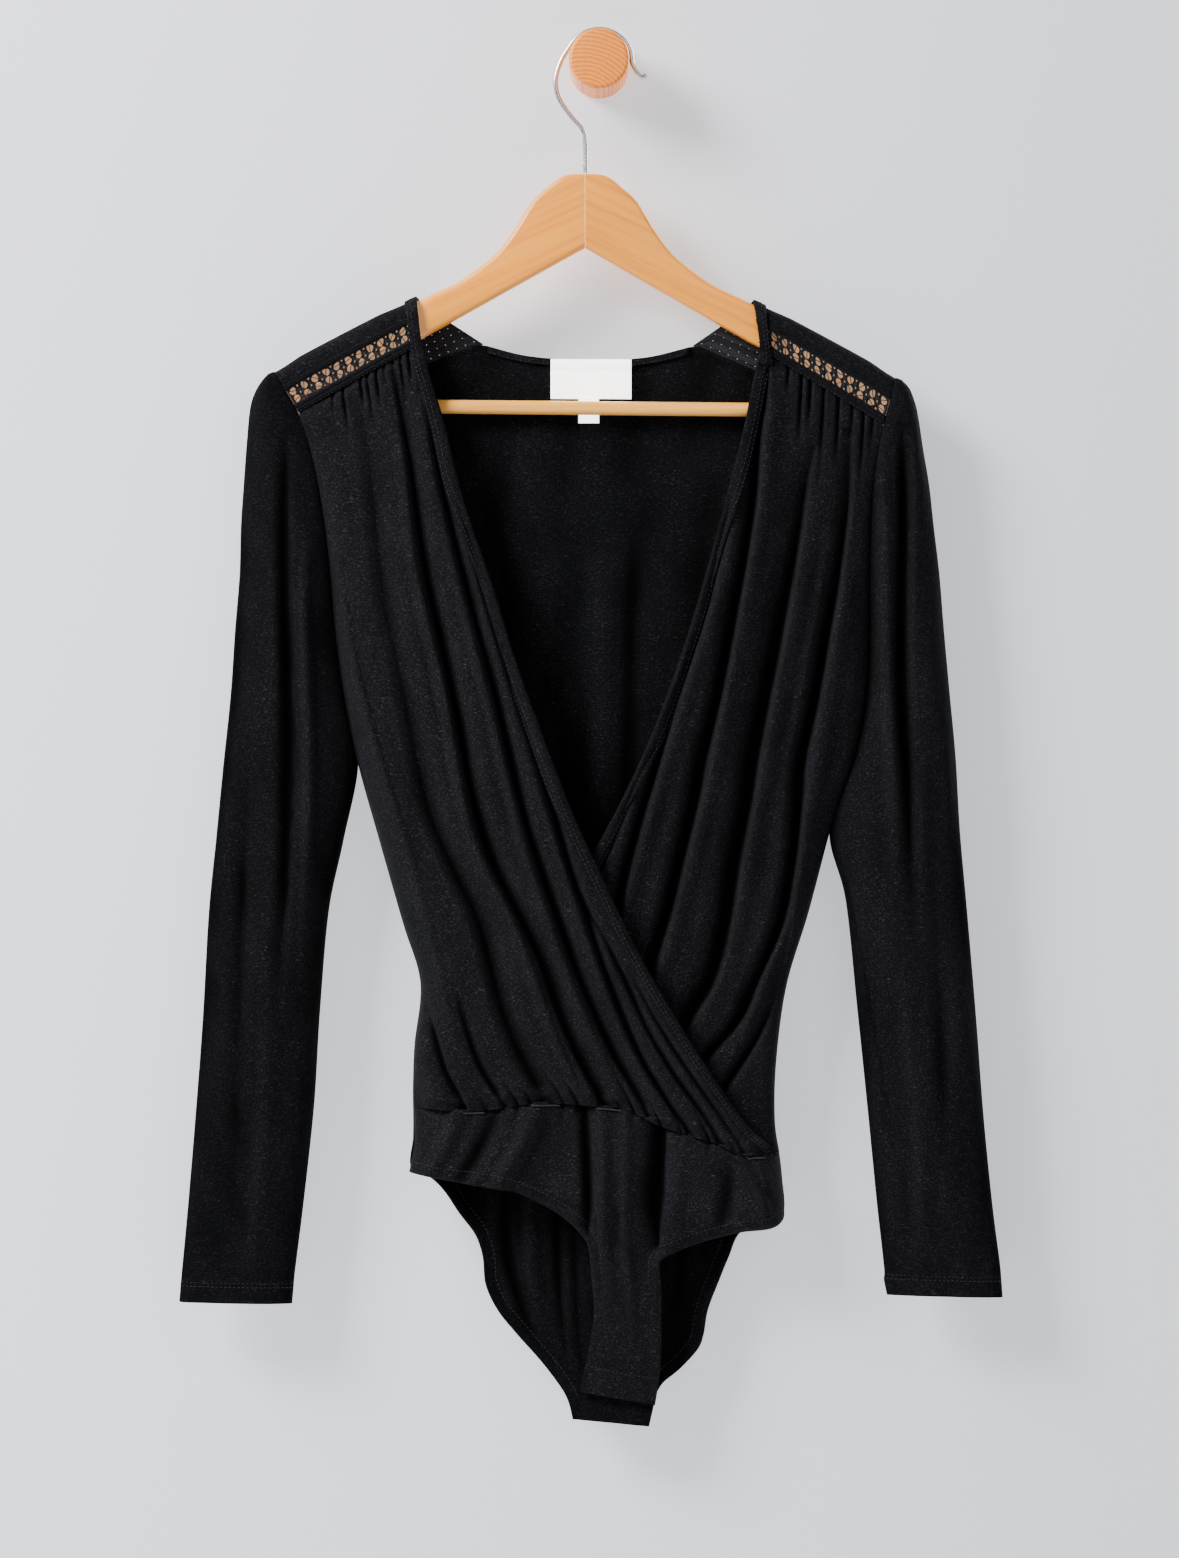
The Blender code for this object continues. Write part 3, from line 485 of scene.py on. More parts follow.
def cloth_mesh(name, place, across, down, size, tube, painted_shade):
    """A grid of squares whose points are moved to place(u, v), with a map in metres."""
    bm = bmesh.new()
    uv = bm.loops.layers.uv.new("cloth")
    # Each point keeps its painted shade for the jersey's colour
    deep = bm.verts.layers.float.new("fold_shade_paint")
    bmesh.ops.create_grid(bm, x_segments=across, y_segments=down, size=0.5)
    for face in bm.faces:
        for loop in face.loops:
            co = loop.vert.co
            loop[uv].uv = ((co.x + 0.5) * size[0], (co.y + 0.5) * size[1])
    flat = np.array([vert.co for vert in bm.verts])
    spots = place(flat[:, 0] + 0.5, 0.5 - flat[:, 1])
    column = np.rint((flat[:, 0] + 0.5) * across).astype(int)
    row = np.rint((0.5 - flat[:, 1]) * down).astype(int)
    out = np.zeros((down + 1, across + 1))
    out[row, column] = -spots[:, 1] / MM
    if tube:
        out = np.abs(out - HANGER_DEPTH)
    shade = painted_fold_shade(out, tube, painted_shade)[row, column]
    for vert, spot, value in zip(bm.verts, spots, shade):
        vert.co = spot
        vert[deep] = value
    if tube:
        bmesh.ops.remove_doubles(bm, verts=bm.verts, dist=0.02 * MM)
        bmesh.ops.recalc_face_normals(bm, faces=bm.faces)
    return mesh_from(bm, name)


def cloth(name, place, across, down, size, look=JERSEY, nodes=(), thick=CLOTH,
          tube=False, painted_shade=0.28):
    """A finished cloth piece. The more painted_shade, the darker the cloth where it has no folds."""
    # The last argument is painted shade: it darkens the jersey's colour where the cloth has no
    # folds, by its own amount on each piece
    obj = finish_piece(name, cloth_mesh(name, place, across, down, size, tube, painted_shade), look,
                       nodes or (name,))
    solid = obj.modifiers.new("Wall", "SOLIDIFY")
    solid.thickness = thick * MM
    solid.offset = 0.0
    print(f"{name}: {across} x {down} squares")
    return obj


# %% [markdown]
# ## The peg, the wire hook and the wooden hanger
#
# The peg is turned, so it is a round bar with a rounded front edge. The hook is bent from one wire,
# so it is a tube along one smooth line. Each arm is sawn from a board: its outline is extruded to
# the board's thickness, and the long edges are rounded with a bevel, as a router would. All three
# are made again here because the frame's solids have few faces.


# %% A map for wood, along the grain
def add_grain(mesh, along, origin=(0, 0, 0)):
    """Coordinates whose first axis lies along the fibres."""
    along = Vector(along).normalized()
    turn = Matrix((along, along.orthogonal().normalized(),
                   along.cross(along.orthogonal()).normalized()))
    layer = mesh.attributes.new("grain", "FLOAT_VECTOR", "POINT")
    spots = [turn @ (vert.co - Vector(origin)) for vert in mesh.vertices]
    layer.data.foreach_set("vector", [c for spot in spots for c in spot])


# %% The peg
PEG_RADIUS, PEG_LENGTH, PEG_ROUNDING = 20.5, 56.0, 2.5
SHARP = math.radians(50)
bm = bmesh.new()
bmesh.ops.create_cone(bm, cap_ends=True, segments=96, radius1=PEG_RADIUS * MM,
                      radius2=PEG_RADIUS * MM, depth=PEG_LENGTH * MM)
bmesh.ops.rotate(bm, verts=bm.verts, matrix=Matrix.Rotation(math.radians(90), 3, "X"))
bmesh.ops.translate(bm, verts=bm.verts, vec=(0, -PEG_LENGTH * MM / 2, 0))
rim = [e for e in bm.edges if all(v.co.y < -0.9 * PEG_LENGTH * MM for v in e.verts)]
bmesh.ops.bevel(bm, geom=rim, offset=PEG_ROUNDING * MM, affect="EDGES", segments=6, profile=0.5,
                material=-1)
mesh = mesh_from(bm, "peg")
finish_piece("turned_peg", mesh, PEG_WOOD, ("wall_peg",))
mesh.set_sharp_from_angle(angle=SHARP)
print("peg:", len(mesh.polygons), "faces")

# %% The wire hook
WIRE_RADIUS = 1.7
turn = PEG_RADIUS + WIRE_RADIUS + ON_TOP
hook_line = [(32.0, -8.6), (29.2, -10.4), (25.0, -5.4)]
hook_line += [(turn * math.cos(math.radians(a)), turn * math.sin(math.radians(a)))
              for a in np.linspace(0, 150, 10)]
hook_line += [(-25.0, 2.6), (-28.6, -6.8), (-29.6, -15.6), (-26.5, -26.5), (-17.7, -38.8),
              (-11.0, -46.5), (-9.5, -56.0), (-9.5, -75.4)]


def add_line(curve, points, cyclic):
    """Straight stretches from point to point, as one more line of the curve."""
    spline = curve.splines.new("POLY")
    spline.use_cyclic_u = cyclic
    spline.points.add(len(points) - 1)
    for point, spot in zip(spline.points, points):
        point.co = (*spot, 1)


def curve_mesh(name, curve):
    """The mesh that a curve draws. The object that it needs for a moment goes again."""
    holder = put(name, curve)
    mesh = bpy.data.meshes.new_from_object(holder.evaluated_get(
        bpy.context.evaluated_depsgraph_get()))
    bpy.data.objects.remove(holder)
    return mesh


def tube_mesh(name, points, radius, sides, cyclic=False):
    """A round tube along points in metres."""
    curve = bpy.data.curves.new(name, "CURVE")
    curve.dimensions = "3D"
    curve.bevel_depth, curve.bevel_resolution = radius, sides
    curve.use_fill_caps = not cyclic
    add_line(curve, points, cyclic)
    return curve_mesh(name, curve)


line = smooth_line(hook_line, 5)
finish_piece("wire_hook", tube_mesh("hook", room(line[:, 0], line[:, 1], HANGER_DEPTH),
                                    WIRE_RADIUS * MM, 6), STEEL, ("hanger_hook",))
print("wire hook:", round(np.linalg.norm(np.diff(line, axis=0), axis=1).sum()), "mm of wire")

# %% The hanger's arms
HANGER_X = -9.5
HANGER_TILT = math.tan(math.radians(0.55))
ARM_THICKNESS, ARM_EDGE = 12.0, 3.5
JOIN = 0.12
ARM_TOP = [
    (0.0, -76.2), (14.3, -77.6), (25.9, -85.9), (36.1, -95.5), (46.3, -111.9), (55.8, -125.6),
    (66.0, -135.9), (85.7, -150.4), (106.1, -160.1), (125.5, -169.4), (139.5, -175.3),
    (159.5, -185.7), (180.5, -196.9), (193.5, -204.0), (204.0, -211.2), (210.1, -222.3),
    (212.2, -228.4), (209.5, -240.0), (200.6, -246.7)]
ARM_UNDER = [(191.8, -243.9), (191.8, -229.0), (111.5, -189.6), (0.0, -126.5)]


def hanger_spot(side, reach, height, depth=HANGER_DEPTH):
    """A place on the hanger, reach millimetres from its middle. The hanger hangs a little askew."""
    across = outwards(side) * np.asarray(reach)
    return room(HANGER_X + across, height - across * HANGER_TILT, depth)


for side in SIDES:
    way = outwards(side)
    bm = bmesh.new()
    verts = [bm.verts.new(hanger_spot(side, max(JOIN, reach), height,
                                      HANGER_DEPTH + ARM_THICKNESS / 2))
             for reach, height in (*smooth_line(ARM_TOP, 4), *ARM_UNDER)]
    face = bm.faces.new(verts)
    grown = bmesh.ops.extrude_face_region(bm, geom=[face])["geom"]
    bmesh.ops.translate(bm, vec=(0, ARM_THICKNESS * MM, 0),
                        verts=[v for v in grown if isinstance(v, bmesh.types.BMVert)])
    bmesh.ops.recalc_face_normals(bm, faces=bm.faces)
    long_edges = [e for e in bm.edges if abs(e.verts[0].co.y - e.verts[1].co.y) < MM
                  and max(abs(v.co.x - HANGER_X * MM) for v in e.verts) > MM]
    bmesh.ops.bevel(bm, geom=long_edges, offset=ARM_EDGE * MM, affect="EDGES", segments=5,
                    profile=0.5, material=-1, clamp_overlap=True)
    mesh = mesh_from(bm, "arm")
    add_grain(mesh, (way * 0.9, 0, -0.43), (way * 0.3, 0, 0))
    finish_piece(f"arm_{side}", mesh, BEECH, (f"hanger_arm_{side}",))
    mesh.set_sharp_from_angle(angle=SHARP)
    print(f"arm_{side}:", len(mesh.polygons), "faces")

# %% The rod between the arms
ROD_RADIUS, ROD_REACH, ROD_HEIGHT = 4.75, 191.5, -235.3
mesh = tube_mesh("rod", [hanger_spot(side, ROD_REACH, ROD_HEIGHT) for side in SIDES],
                 ROD_RADIUS * MM, 7)
add_grain(mesh, (1, 0, 0))
finish_piece("trouser_rod", mesh, ROD_WOOD_PAINTED_PALER, ("hanger_rod",))
mesh.set_sharp_from_angle(angle=SHARP)
print("rod:", 2 * ROD_REACH, "mm long")

# %% [markdown]
# ## The pattern of the garment
#
# Every panel is a table: where its left and right edges are, row by row from the shoulder to the
# waist, and how far out from the wall. Between the rows a smooth curve is read. A crease is a line
# down the panel with a lift at each of its points: below zero it is a trough, above zero a ridge.
# Its two sides have their own widths, because a hanging fold leans: one side drops steeply and the
# other runs out slowly.

# %% Side edges, shared by front, back and sleeve: x, height, depth of the front's edge
SIDE = {
    "right": (
        (-204, -240, 43.0), (-197, -260, 43.0), (-191, -285, 42.5), (-186, -315, 41.5),
        (-182, -349, 40.5), (-179, -386, 39.0), (-173, -430, 37.0), (-164, -475, 34.4),
        (-149, -529, 34.4), (-133, -585, 34.4), (-121, -626, 34.4), (-125, -668, 34.4),
        (-126, -694, 34.4), (-126, -709, 34.4)),
    "left": (
        (193, -248, 43.0), (189, -267, 43.0), (186, -288, 42.5), (184, -315, 41.5),
        (183, -349, 40.5), (183, -386, 39.0), (181, -430, 37.0), (173, -473, 35.6),
        (157, -522, 34.4), (142, -578, 34.4), (127, -628, 34.4), (120, -679, 34.4),
        (119, -718, 34.4), (122, -741, 34.4)),
}
ARMPIT = {"right": 7, "left": 8}

# %% The crossing edges: x, height, depth of the edge, depth of the panel's middle
OVER_EDGE = (
    (-120, -194, 43.0, 43.0), (-113, -222, 43.5, 46.5), (-105, -249, 45.0, 50.0),
    (-97, -283, 46.5, 52.0), (-85, -320, 48.0, 54.0), (-72, -359, 49.5, 55.5),
    (-58, -405, 51.5, 57.0), (-39, -458, 53.5, 58.0), (-20, -507, 55.5, 59.0),
    (5, -561, 56.5, 59.5), (31, -616, 56.5, 59.0), (67, -677, 54.5, 57.0),
    (99, -721, 49.0, 53.0), (121, -742, 39.0, 49.5))
UNDER_EDGE = (
    (109, -198, 43.0, 43.0), (104, -220, 43.5, 45.5), (98, -250, 45.0, 48.0),
    (89, -288, 46.0, 50.0), (78, -328, 46.5, 51.0), (66, -371, 47.0, 51.0),
    (50, -420, 47.0, 50.0), (30, -471, 46.5, 48.5), (5, -522, 45.5, 47.0),
    (-27, -578, 45.0, 46.0), (-52, -621, 45.0, 45.5), (-82, -667, 44.5, 45.0),
    (-100, -694, 44.0, 44.5), (-111, -707, 43.0, 43.5))
BACK_MIDDLE = (25.0, 24.5, 24.0, 23.0, 22.0, 21.0, 20.5, 20.0, 20.0, 20.0, 19.5, 19.0, 18.5, 18.5)
WAIST = ((-126, -709), (-81, -711), (-45, -706), (0, -708), (20, -711), (41, -721), (79, -733),
         (99, -741), (122, -741))
BACK_NECK = ((-78, -191.5), (-51, -198.5), (-6, -201.5), (34, -199.5), (63, -192.5))
BACK_TOP_ENDS = ((-204, -240), (193, -248))


def height_at(line, x):
    """The height at x of a smooth curve through the line's points."""
    line = np.asarray(line, float)
    slopes = np.diff(line[:, 1]) / np.diff(line[:, 0])
    turns = np.concatenate((slopes[:1], (slopes[:-1] + slopes[1:]) / 2, slopes[-1:]))
    x = np.clip(x, line[0, 0], line[-1, 0])
    i = np.clip(np.searchsorted(line[:, 0], x) - 1, 0, len(line) - 2)
    x0, z0, x1, z1 = line[i, 0], line[i, 1], line[i + 1, 0], line[i + 1, 1]
    wide = x1 - x0
    f = (x - x0) / wide
    return (z0 * (1 + 2 * f) * (1 - f) ** 2 + z1 * f * f * (3 - 2 * f)
            + wide * f * (1 - f) * (turns[i] * (1 - f) - turns[i + 1] * f))


def waist(x):
    return height_at(WAIST, x)


def back_top(x):
    """The back's top edge: straight shoulder seams and a curved neckline between them."""
    ends = (BACK_TOP_ENDS[0], BACK_NECK[0], BACK_NECK[-1], BACK_TOP_ENDS[1])
    straight = np.interp(x, [p[0] for p in ends], [p[1] for p in ends])
    inside = (np.asarray(x) > BACK_NECK[0][0]) & (np.asarray(x) < BACK_NECK[-1][0])
    return np.where(inside, height_at(BACK_NECK, x), straight)


# %% How creases and gathers move the cloth
def crease_lift(creases, x, height):
    """How far all creases together move each point out of its panel."""
    total = np.zeros_like(x)
    for (left, right), *points in creases:
        line = smooth_line(points)[::-1]
        middle = np.interp(height, line[:, 1], line[:, 0])
        lift = np.interp(height, line[:, 1], line[:, 2], left=0.0, right=0.0)
        t = np.clip(np.where(x < middle, (middle - x) / left, (x - middle) / right), 0, 1)
        shape = 0.5 + 0.5 * np.cos(np.pi * t)
        keen = 1 - np.sin(np.pi * t / 2)
        total += lift * np.where(lift < 0, 0.45 * shape + 0.55 * keen, shape)
    return total


def scaled(creases, troughs, ridges=1.0):
    """The same creases, with their troughs and ridges this many times as large."""
    return [(widths, *((x, z, lift * (troughs if lift < 0 else ridges)) for x, z, lift in points))
            for widths, *points in creases]


def uneven(x, height, seed):
    """The slight, slow unevenness that all hanging cloth has."""
    total = np.zeros_like(x)
    for k, (wave, size) in enumerate(((83.0, 0.55), (47.0, 0.4), (29.0, 0.25), (17.0, 0.12))):
        turn = seed * 1.7 + k * 2.4
        a, b = math.cos(turn) * 6.2832 / wave, math.sin(turn) * 2.4 / wave
        total += size * np.sin(a * x + b * height + seed * 3.1 + k)
    return total


def gathers(x, height, places, seam, reach, lift, lean, half):
    """Small gathers at a seam: troughs at these places that fade away from it, uneven in size."""
    total = np.zeros_like(x)
    away = np.abs(height - seam)
    for k, place in enumerate(places):
        own = reach * (0.35 + 0.95 * ((k * 0.618) % 1))
        deep = lift * (0.6 + 0.8 * ((k * 0.382 + 0.2) % 1))
        wide = half * (0.7 + 0.25 * away / own)
        t = np.clip(np.abs(x - place - lean * away) / wide, 0, 1)
        total += deep * ease(1 - away / own) * (0.5 + 0.5 * np.cos(np.pi * t))
    return total


# %% One class for every panel
ROLL = 26.0
EDGE_STILL, EDGE_FADE = 1.5, 12
SEAM_ROWS = 4.0
STEP = 0.004


def unit(vectors):
    return vectors / np.linalg.norm(vectors, axis=-1, keepdims=True)


class Sheet:
    """A cloth panel. Across, u runs from its left edge, 0, to its right, 1; v counts its rows."""

    def __init__(self, rows, creases=(), rolled=(True, True), top=None, bottom=None, more=None,
                 seed=0.0):
        self.rows, self.creases, self.rolled = np.array(rows, float), creases, rolled
        self.top, self.bottom, self.more, self.seed = top, bottom, more, seed
        self.last = len(rows) - 1

    def point(self, u, v):
        x0, z0, x1, z1, edge0, middle, edge1 = np.moveaxis(read_rows(self.rows, v), -1, 0)
        x, z = x0 + (x1 - x0) * u, z0 + (z1 - z0) * u
        for line, row, away in ((self.top, self.rows[0], v),
                                (self.bottom, self.rows[-1], self.last - v)):
            if line:
                straight = row[1] + (row[3] - row[1]) * (x - row[0]) / (row[2] - row[0])
                z = z + ease(1 - away / SEAM_ROWS) * (line(x) - straight)
        width = np.abs(x1 - x0)
        roll = np.minimum(ROLL, width / 2)
        depth, free = middle, 1.0
        for edge, away, rolled in ((edge0, u, self.rolled[0]), (edge1, 1 - u, self.rolled[1])):
            t = 1 - np.minimum(1.0, away * width / roll)
            depth = depth + (edge - middle) * (1 - np.sqrt(1 - t * t) if rolled else t * t)
            if rolled:
                free = free * ease((away * width - EDGE_STILL) / EDGE_FADE)
        lift = crease_lift(self.creases, x, z) + uneven(x, z, self.seed)
        if self.more:
            lift = lift + self.more(x, z)
        return room(x, z, depth + free * lift)

    def out(self, u, v, lift):
        """The point moved out of the sheet by lift millimetres, towards the front."""
        u0, u1 = np.maximum(0.0, u - STEP), np.minimum(1.0, u + STEP)
        v0, v1 = np.maximum(0.0, v - STEP), np.minimum(float(self.last), v + STEP)
        normal = unit(np.cross(self.point(u1, v) - self.point(u0, v),
                               self.point(u, v1) - self.point(u, v0)))
        normal *= np.where(normal[..., 1:2] > 0, -1.0, 1.0)
        return self.point(u, v) + normal * np.asarray(lift)[..., None] * MM

    def place(self, x, height):
        """The u and v of the points at these x and heights."""
        x, height = np.broadcast_arrays(np.asarray(x, float), np.asarray(height, float))
        low, high = np.zeros(x.shape), np.full(x.shape, float(self.last))
        for _ in range(26):
            v = (low + high) / 2
            row = read_rows(self.rows, v)
            u = (x - row[..., 0]) / (row[..., 2] - row[..., 0])
            above = self.point(u, v)[..., 2] > height * MM
            low, high = np.where(above, v, low), np.where(above, high, v)
        return u, v


# %% [markdown]
# ## The two fronts
#
# Each front is one panel, gathered into the shoulder band and, for the over front, into the waist
# seam. Its folds start at the shoulder gathers and fall towards the crossing. The creases below
# follow them one by one. On the over front a fold rises slowly from the left and drops at its
# right, and on the under front it is the other way round, as the cloth is pulled that way.

# %% Folds of the over front: (left width, right width), then x, height, lift
OVER_CREASES = (
    ((10, 17), (-165, -222, -1.0), (-157, -262, -2.6), (-151, -315, -3.6), (-145, -366, -3.8),
     (-131, -434, -4.4), (-117, -502, -5.6), (-101, -543, -6.6), (-82, -583, -6.8),
     (-74, -611, -6.4), (-65, -645, -6.0), (-53, -675, -5.6), (-41, -698, -5.0), (-36, -716, -4.0)),
    ((4, 14), (-140, -206, -2.4), (-134, -240, -4.2), (-128, -275, -5.6), (-123, -315, -6.4),
     (-114, -366, -6.8), (-99, -434, -6.8), (-86, -502, -7.2), (-73, -543, -7.4),
     (-53, -583, -7.0), (-40, -611, -6.6), (-28, -645, -6.4), (-15, -675, -6.0), (-3, -698, -5.4),
     (6, -716, -4.0)),
    ((4, 10), (-118, -232, 0.0), (-113, -258, -3.4), (-105, -298, -5.8), (-88, -366, -6.0),
     (-70, -434, -6.0), (-54, -502, -6.2), (-42, -543, -6.4), (-28, -583, -6.4),
     (-18, -611, -6.0), (-4, -645, -5.8), (10, -675, -5.6), (25, -700, -5.0), (34, -716, -4.0)),
    ((3.5, 7), (-101, -282, 0.0), (-91, -318, -2.4), (-77, -366, -3.4), (-56, -434, -4.2),
     (-34, -502, -5.2), (-22, -543, -5.6), (-8, -583, -5.6), (1, -611, -5.4), (14, -645, -5.4),
     (30, -680, -5.2), (46, -706, -4.8), (62, -728, -4.0)),
    ((3.5, 7), (-26, -548, 0.0), (-2, -586, -2.6), (16, -621, -4.4), (32, -656, -4.8),
     (50, -687, -4.8), (68, -712, -4.4), (82, -734, -3.4)),
    ((3, 5), (14, -604, 0.0), (32, -640, -3.0), (50, -670, -3.8), (69, -698, -3.6),
     (86, -722, -3.2), (98, -740, -2.4)),
    ((3.5, 7), (-98, -625, 0.0), (-92, -650, -2.6), (-82, -680, -4.0), (-70, -700, -4.0),
     (-62, -712, -3.4)),
    ((17, 3), (-124, -612, 0.0), (-118, -637, -4.4), (-110, -662, -7.2), (-103, -685, -7.2),
     (-94, -702, -6.0), (-88, -716, -5.0)),
    ((1.3, 1.3), (-119, -600, 0.0), (-116, -640, -1.3), (-119, -680, -1.3), (-120, -712, -1.3)),
    ((9, 5), (-190, -262, 0.0), (-181, -320, 1.8), (-168, -400, 2.6), (-150, -470, 2.6),
     (-128, -540, 1.6), (-112, -600, 1.6), (-98, -660, 1.4), (-84, -700, 0.0)),
    ((9, 4), (-143, -230, 0.0), (-133, -275, 1.8), (-127, -330, 2.6), (-120, -366, 2.8),
     (-104, -434, 3.0), (-92, -502, 3.2), (-79, -543, 3.2), (-59, -583, 3.0), (-46, -615, 2.8),
     (-34, -650, 2.4), (-20, -685, 1.6), (-10, -708, 0.0)),
    ((7, 4), (-112, -290, 0.0), (-93, -366, 2.0), (-75, -434, 2.4), (-59, -502, 2.6),
     (-48, -543, 2.8), (-34, -583, 2.8), (-23, -615, 2.6), (-9, -650, 2.2), (6, -682, 1.4),
     (18, -706, 0.0)),
    ((5, 3), (-60, -440, 0.0), (-39, -502, 1.8), (-13, -583, 2.4), (-3, -611, 2.4),
     (10, -645, 2.2), (26, -680, 1.8), (44, -710, 0.0)),
)
OVER_GATHERS = (-181, -174, -162, -157.5, -151.5, -146, -135, -129.5)
WAIST_GATHERS = (-76, -55, -46, -24, -14, 14, 24, 42, 56, 75, 92)
WAIST_BUMPS = ((-94, 9), (-66, 7), (-39, 10), (-8, 8), (9, 9), (36, 8), (66, 8), (104, 9))


def waist_bumps(x, away):
    """Small puffs of cloth that roll over the waist seam between the tucks."""
    return sum(1.9 * ease(1 - np.hypot((x - place) / half, (away - 5.0) / 8.0))
               for place, half in WAIST_BUMPS)


def puff(away, size):
    """Gathered cloth swells beside its seam, then lies down again within 34 mm."""
    return size * ease(away / 5) * ease(1 - away / 34)


def over_more(x, z):
    """What the seams of the over front do: gathers, swellings and the blouse over the waist."""
    seam = np.interp(x, (-204, -120), (-240, -194))
    above = z - waist(x)
    short = gathers(x, z, OVER_GATHERS, seam, 42.0, -3.2, 0.14, 3.1)
    tucks = gathers(x, z, WAIST_GATHERS, waist(x), 30.0, -2.4, -0.6, 3.4)
    blouse = 1.9 * ease(1 - above / 34) + puff(above, 1.5)
    return short + puff(seam - z, 1.7) + tucks + blouse + waist_bumps(x, above)


rows = [(sx, sz, ex, ez, sd, middle, ed)
        for (sx, sz, sd), (ex, ez, ed, middle) in zip(SIDE["right"], OVER_EDGE)]
over_front = Sheet(rows, OVER_CREASES, (True, False), bottom=waist, more=over_more, seed=0.3)

# %% Folds of the under front
UNDER_CREASES = (
    ((7, 3), (40, -455, 0.0), (35, -471, -2.0), (21, -502, -3.0), (10, -529, -3.2),
     (-4, -560, -3.0), (-18, -590, -2.0)),
    ((11, 3.5), (91, -296, 0.0), (88, -311, -2.5), (81, -339, -4.6), (75, -366, -5.4),
     (67, -393, -5.8), (53, -434, -6.0), (41, -475, -6.0), (33, -502, -6.0), (22, -543, -6.0),
     (12, -583, -5.5), (0, -625, -5.0), (-16, -670, -4.0)),
    ((15, 3.5), (114, -206, -2.0), (113, -230, -4.0), (109, -257, -5.5), (106, -298, -6.4),
     (100, -339, -6.8), (95, -366, -7.0), (90, -393, -7.2), (82, -434, -7.4), (72, -475, -7.4),
     (67, -502, -7.4), (57, -543, -7.0), (47, -583, -6.6), (33, -624, -6.0), (15, -670, -5.0)),
    ((22, 4), (146, -262, -1.0), (141, -284, -3.5), (139, -298, -5.0), (133, -339, -7.5),
     (128, -366, -8.6), (123, -393, -9.0), (115, -434, -9.4), (107, -475, -9.4),
     (103, -502, -9.0), (95, -543, -8.2), (89, -583, -7.6), (78, -624, -7.0), (62, -651, -6.4),
     (40, -690, -5.0)),
    ((13, 4), (170, -250, -1.5), (169, -298, -4.0), (164, -339, -6.0), (160, -366, -7.0),
     (155, -393, -7.4), (148, -434, -7.8), (139, -475, -7.8), (137, -502, -7.6),
     (133, -543, -7.0), (125, -583, -7.0), (108, -624, -6.6), (96, -651, -6.0), (72, -679, -5.0),
     (52, -705, -4.0)),
    ((12, 4), (132, -560, 0.0), (128, -600, -3.0), (118, -640, -4.4), (104, -670, -4.4),
     (84, -700, -3.6), (66, -725, -2.4)),
    ((5, 11), (118, -230, 1.0), (114, -257, 2.6), (110, -298, 3.0), (99, -366, 3.2),
     (86, -434, 3.2), (72, -502, 3.0), (52, -583, 2.6), (38, -630, 2.0), (20, -680, 0.0)),
    ((5, 12), (148, -290, 0.0), (139, -330, 2.4), (133, -366, 3.2), (120, -434, 3.4),
     (108, -502, 3.2), (95, -570, 2.8), (84, -620, 2.2), (50, -690, 0.0)),
    ((5, 10), (94, -310, 0.0), (79, -366, 2.0), (58, -434, 2.6), (38, -502, 2.6),
     (18, -570, 2.2), (0, -640, 0.0)),
    ((6, 12), (172, -330, 0.0), (166, -366, 1.8), (154, -434, 2.4), (143, -502, 2.4),
     (130, -583, 2.0), (108, -640, 1.4), (80, -690, 0.0)),
)
UNDER_GATHERS = (128.5, 137.5, 143.5, 152.5, 162.5, 172, 179.5, 186)


def under_more(x, z):
    seam = np.interp(x, (109, 193), (-198, -248))
    return gathers(x, z, UNDER_GATHERS, seam, 66.0, -3.6, -0.05, 3.6) + puff(seam - z, 1.8)


rows = [(ex, ez, sx, sz, ed, middle, sd)
        for (sx, sz, sd), (ex, ez, ed, middle) in zip(SIDE["left"], UNDER_EDGE)]
under_front = Sheet(rows, scaled(UNDER_CREASES, 1.25), (False, True), bottom=waist,
                    more=under_more, seed=1.1)


# %% Cut the fronts
TUCK_HEIGHT, TUCK_DEPTH, TUCK_PART = 3.8, 2.2, 0.012


def panel_place(sheet, sides, top=0.0, bottom=0.0, tucked=False):
    """Where a panel's points hang, drawn in a little where a sleeve is sewn to it. A tucked
    panel goes on up behind the tape that it is sewn to."""

    def sewn(side, rows_down):
        return SEAM * ease(ARMPIT[side] + 0.6 - rows_down) if side else 0.0

    def place(u, v):
        rows_down = v * sheet.last
        row = read_rows(sheet.rows, rows_down)
        width = np.abs(row[..., 2] - row[..., 0])
        start, end = (sewn(side, rows_down) / width for side in sides)
        spots = sheet.point(start + (1 - end - start) * u, rows_down)
        spots[..., 2] += (bottom * ease(1 - (1 - v) * 40) - top * ease(1 - v * 40)) * MM
        if tucked:
            inside = ease(1 - v / TUCK_PART)
            spots[..., 2] += TUCK_HEIGHT * inside * MM
            spots[..., 1] += TUCK_DEPTH * inside * MM
        return spots

    return place


front_right = cloth(
    "over_front", panel_place(over_front, ("right", None), bottom=-1.4, tucked=True),
    170, 262, (0.25, 0.58), nodes=("front_right",), painted_shade=0.2)
front_left = cloth(
    "under_front", panel_place(under_front, (None, "left"), bottom=SEAM, tucked=True),
    150, 240, (0.23, 0.58), nodes=("front_left",))

# %% [markdown]
# ## The edge bands
#
# Each crossing edge is bound with a strip of jersey, folded over and stitched twice. It is made
# from the panel's own edge, moved out by half its thickness, so it follows every fold, and it goes
# on up over the shoulder band.

# %% The shoulder band's own shape: from a ridge on the hanger down to a straight seam
FRONT_SEAM = {"right": (-120.6, -191.8, -204.0, -238.6), "left": (109.5, -195.8, 193.1, -247.0)}
BACK_SEAM = {"right": (-78.0, -191.2, -204.0, -239.6), "left": (63.0, -192.2, 193.1, -247.6)}
RIDGE_REACH = (114.5, 211.0)
RIDGE_SHARE, RIDGE_CURVE, BAND_HALF = 0.28, 2.6, 9.0


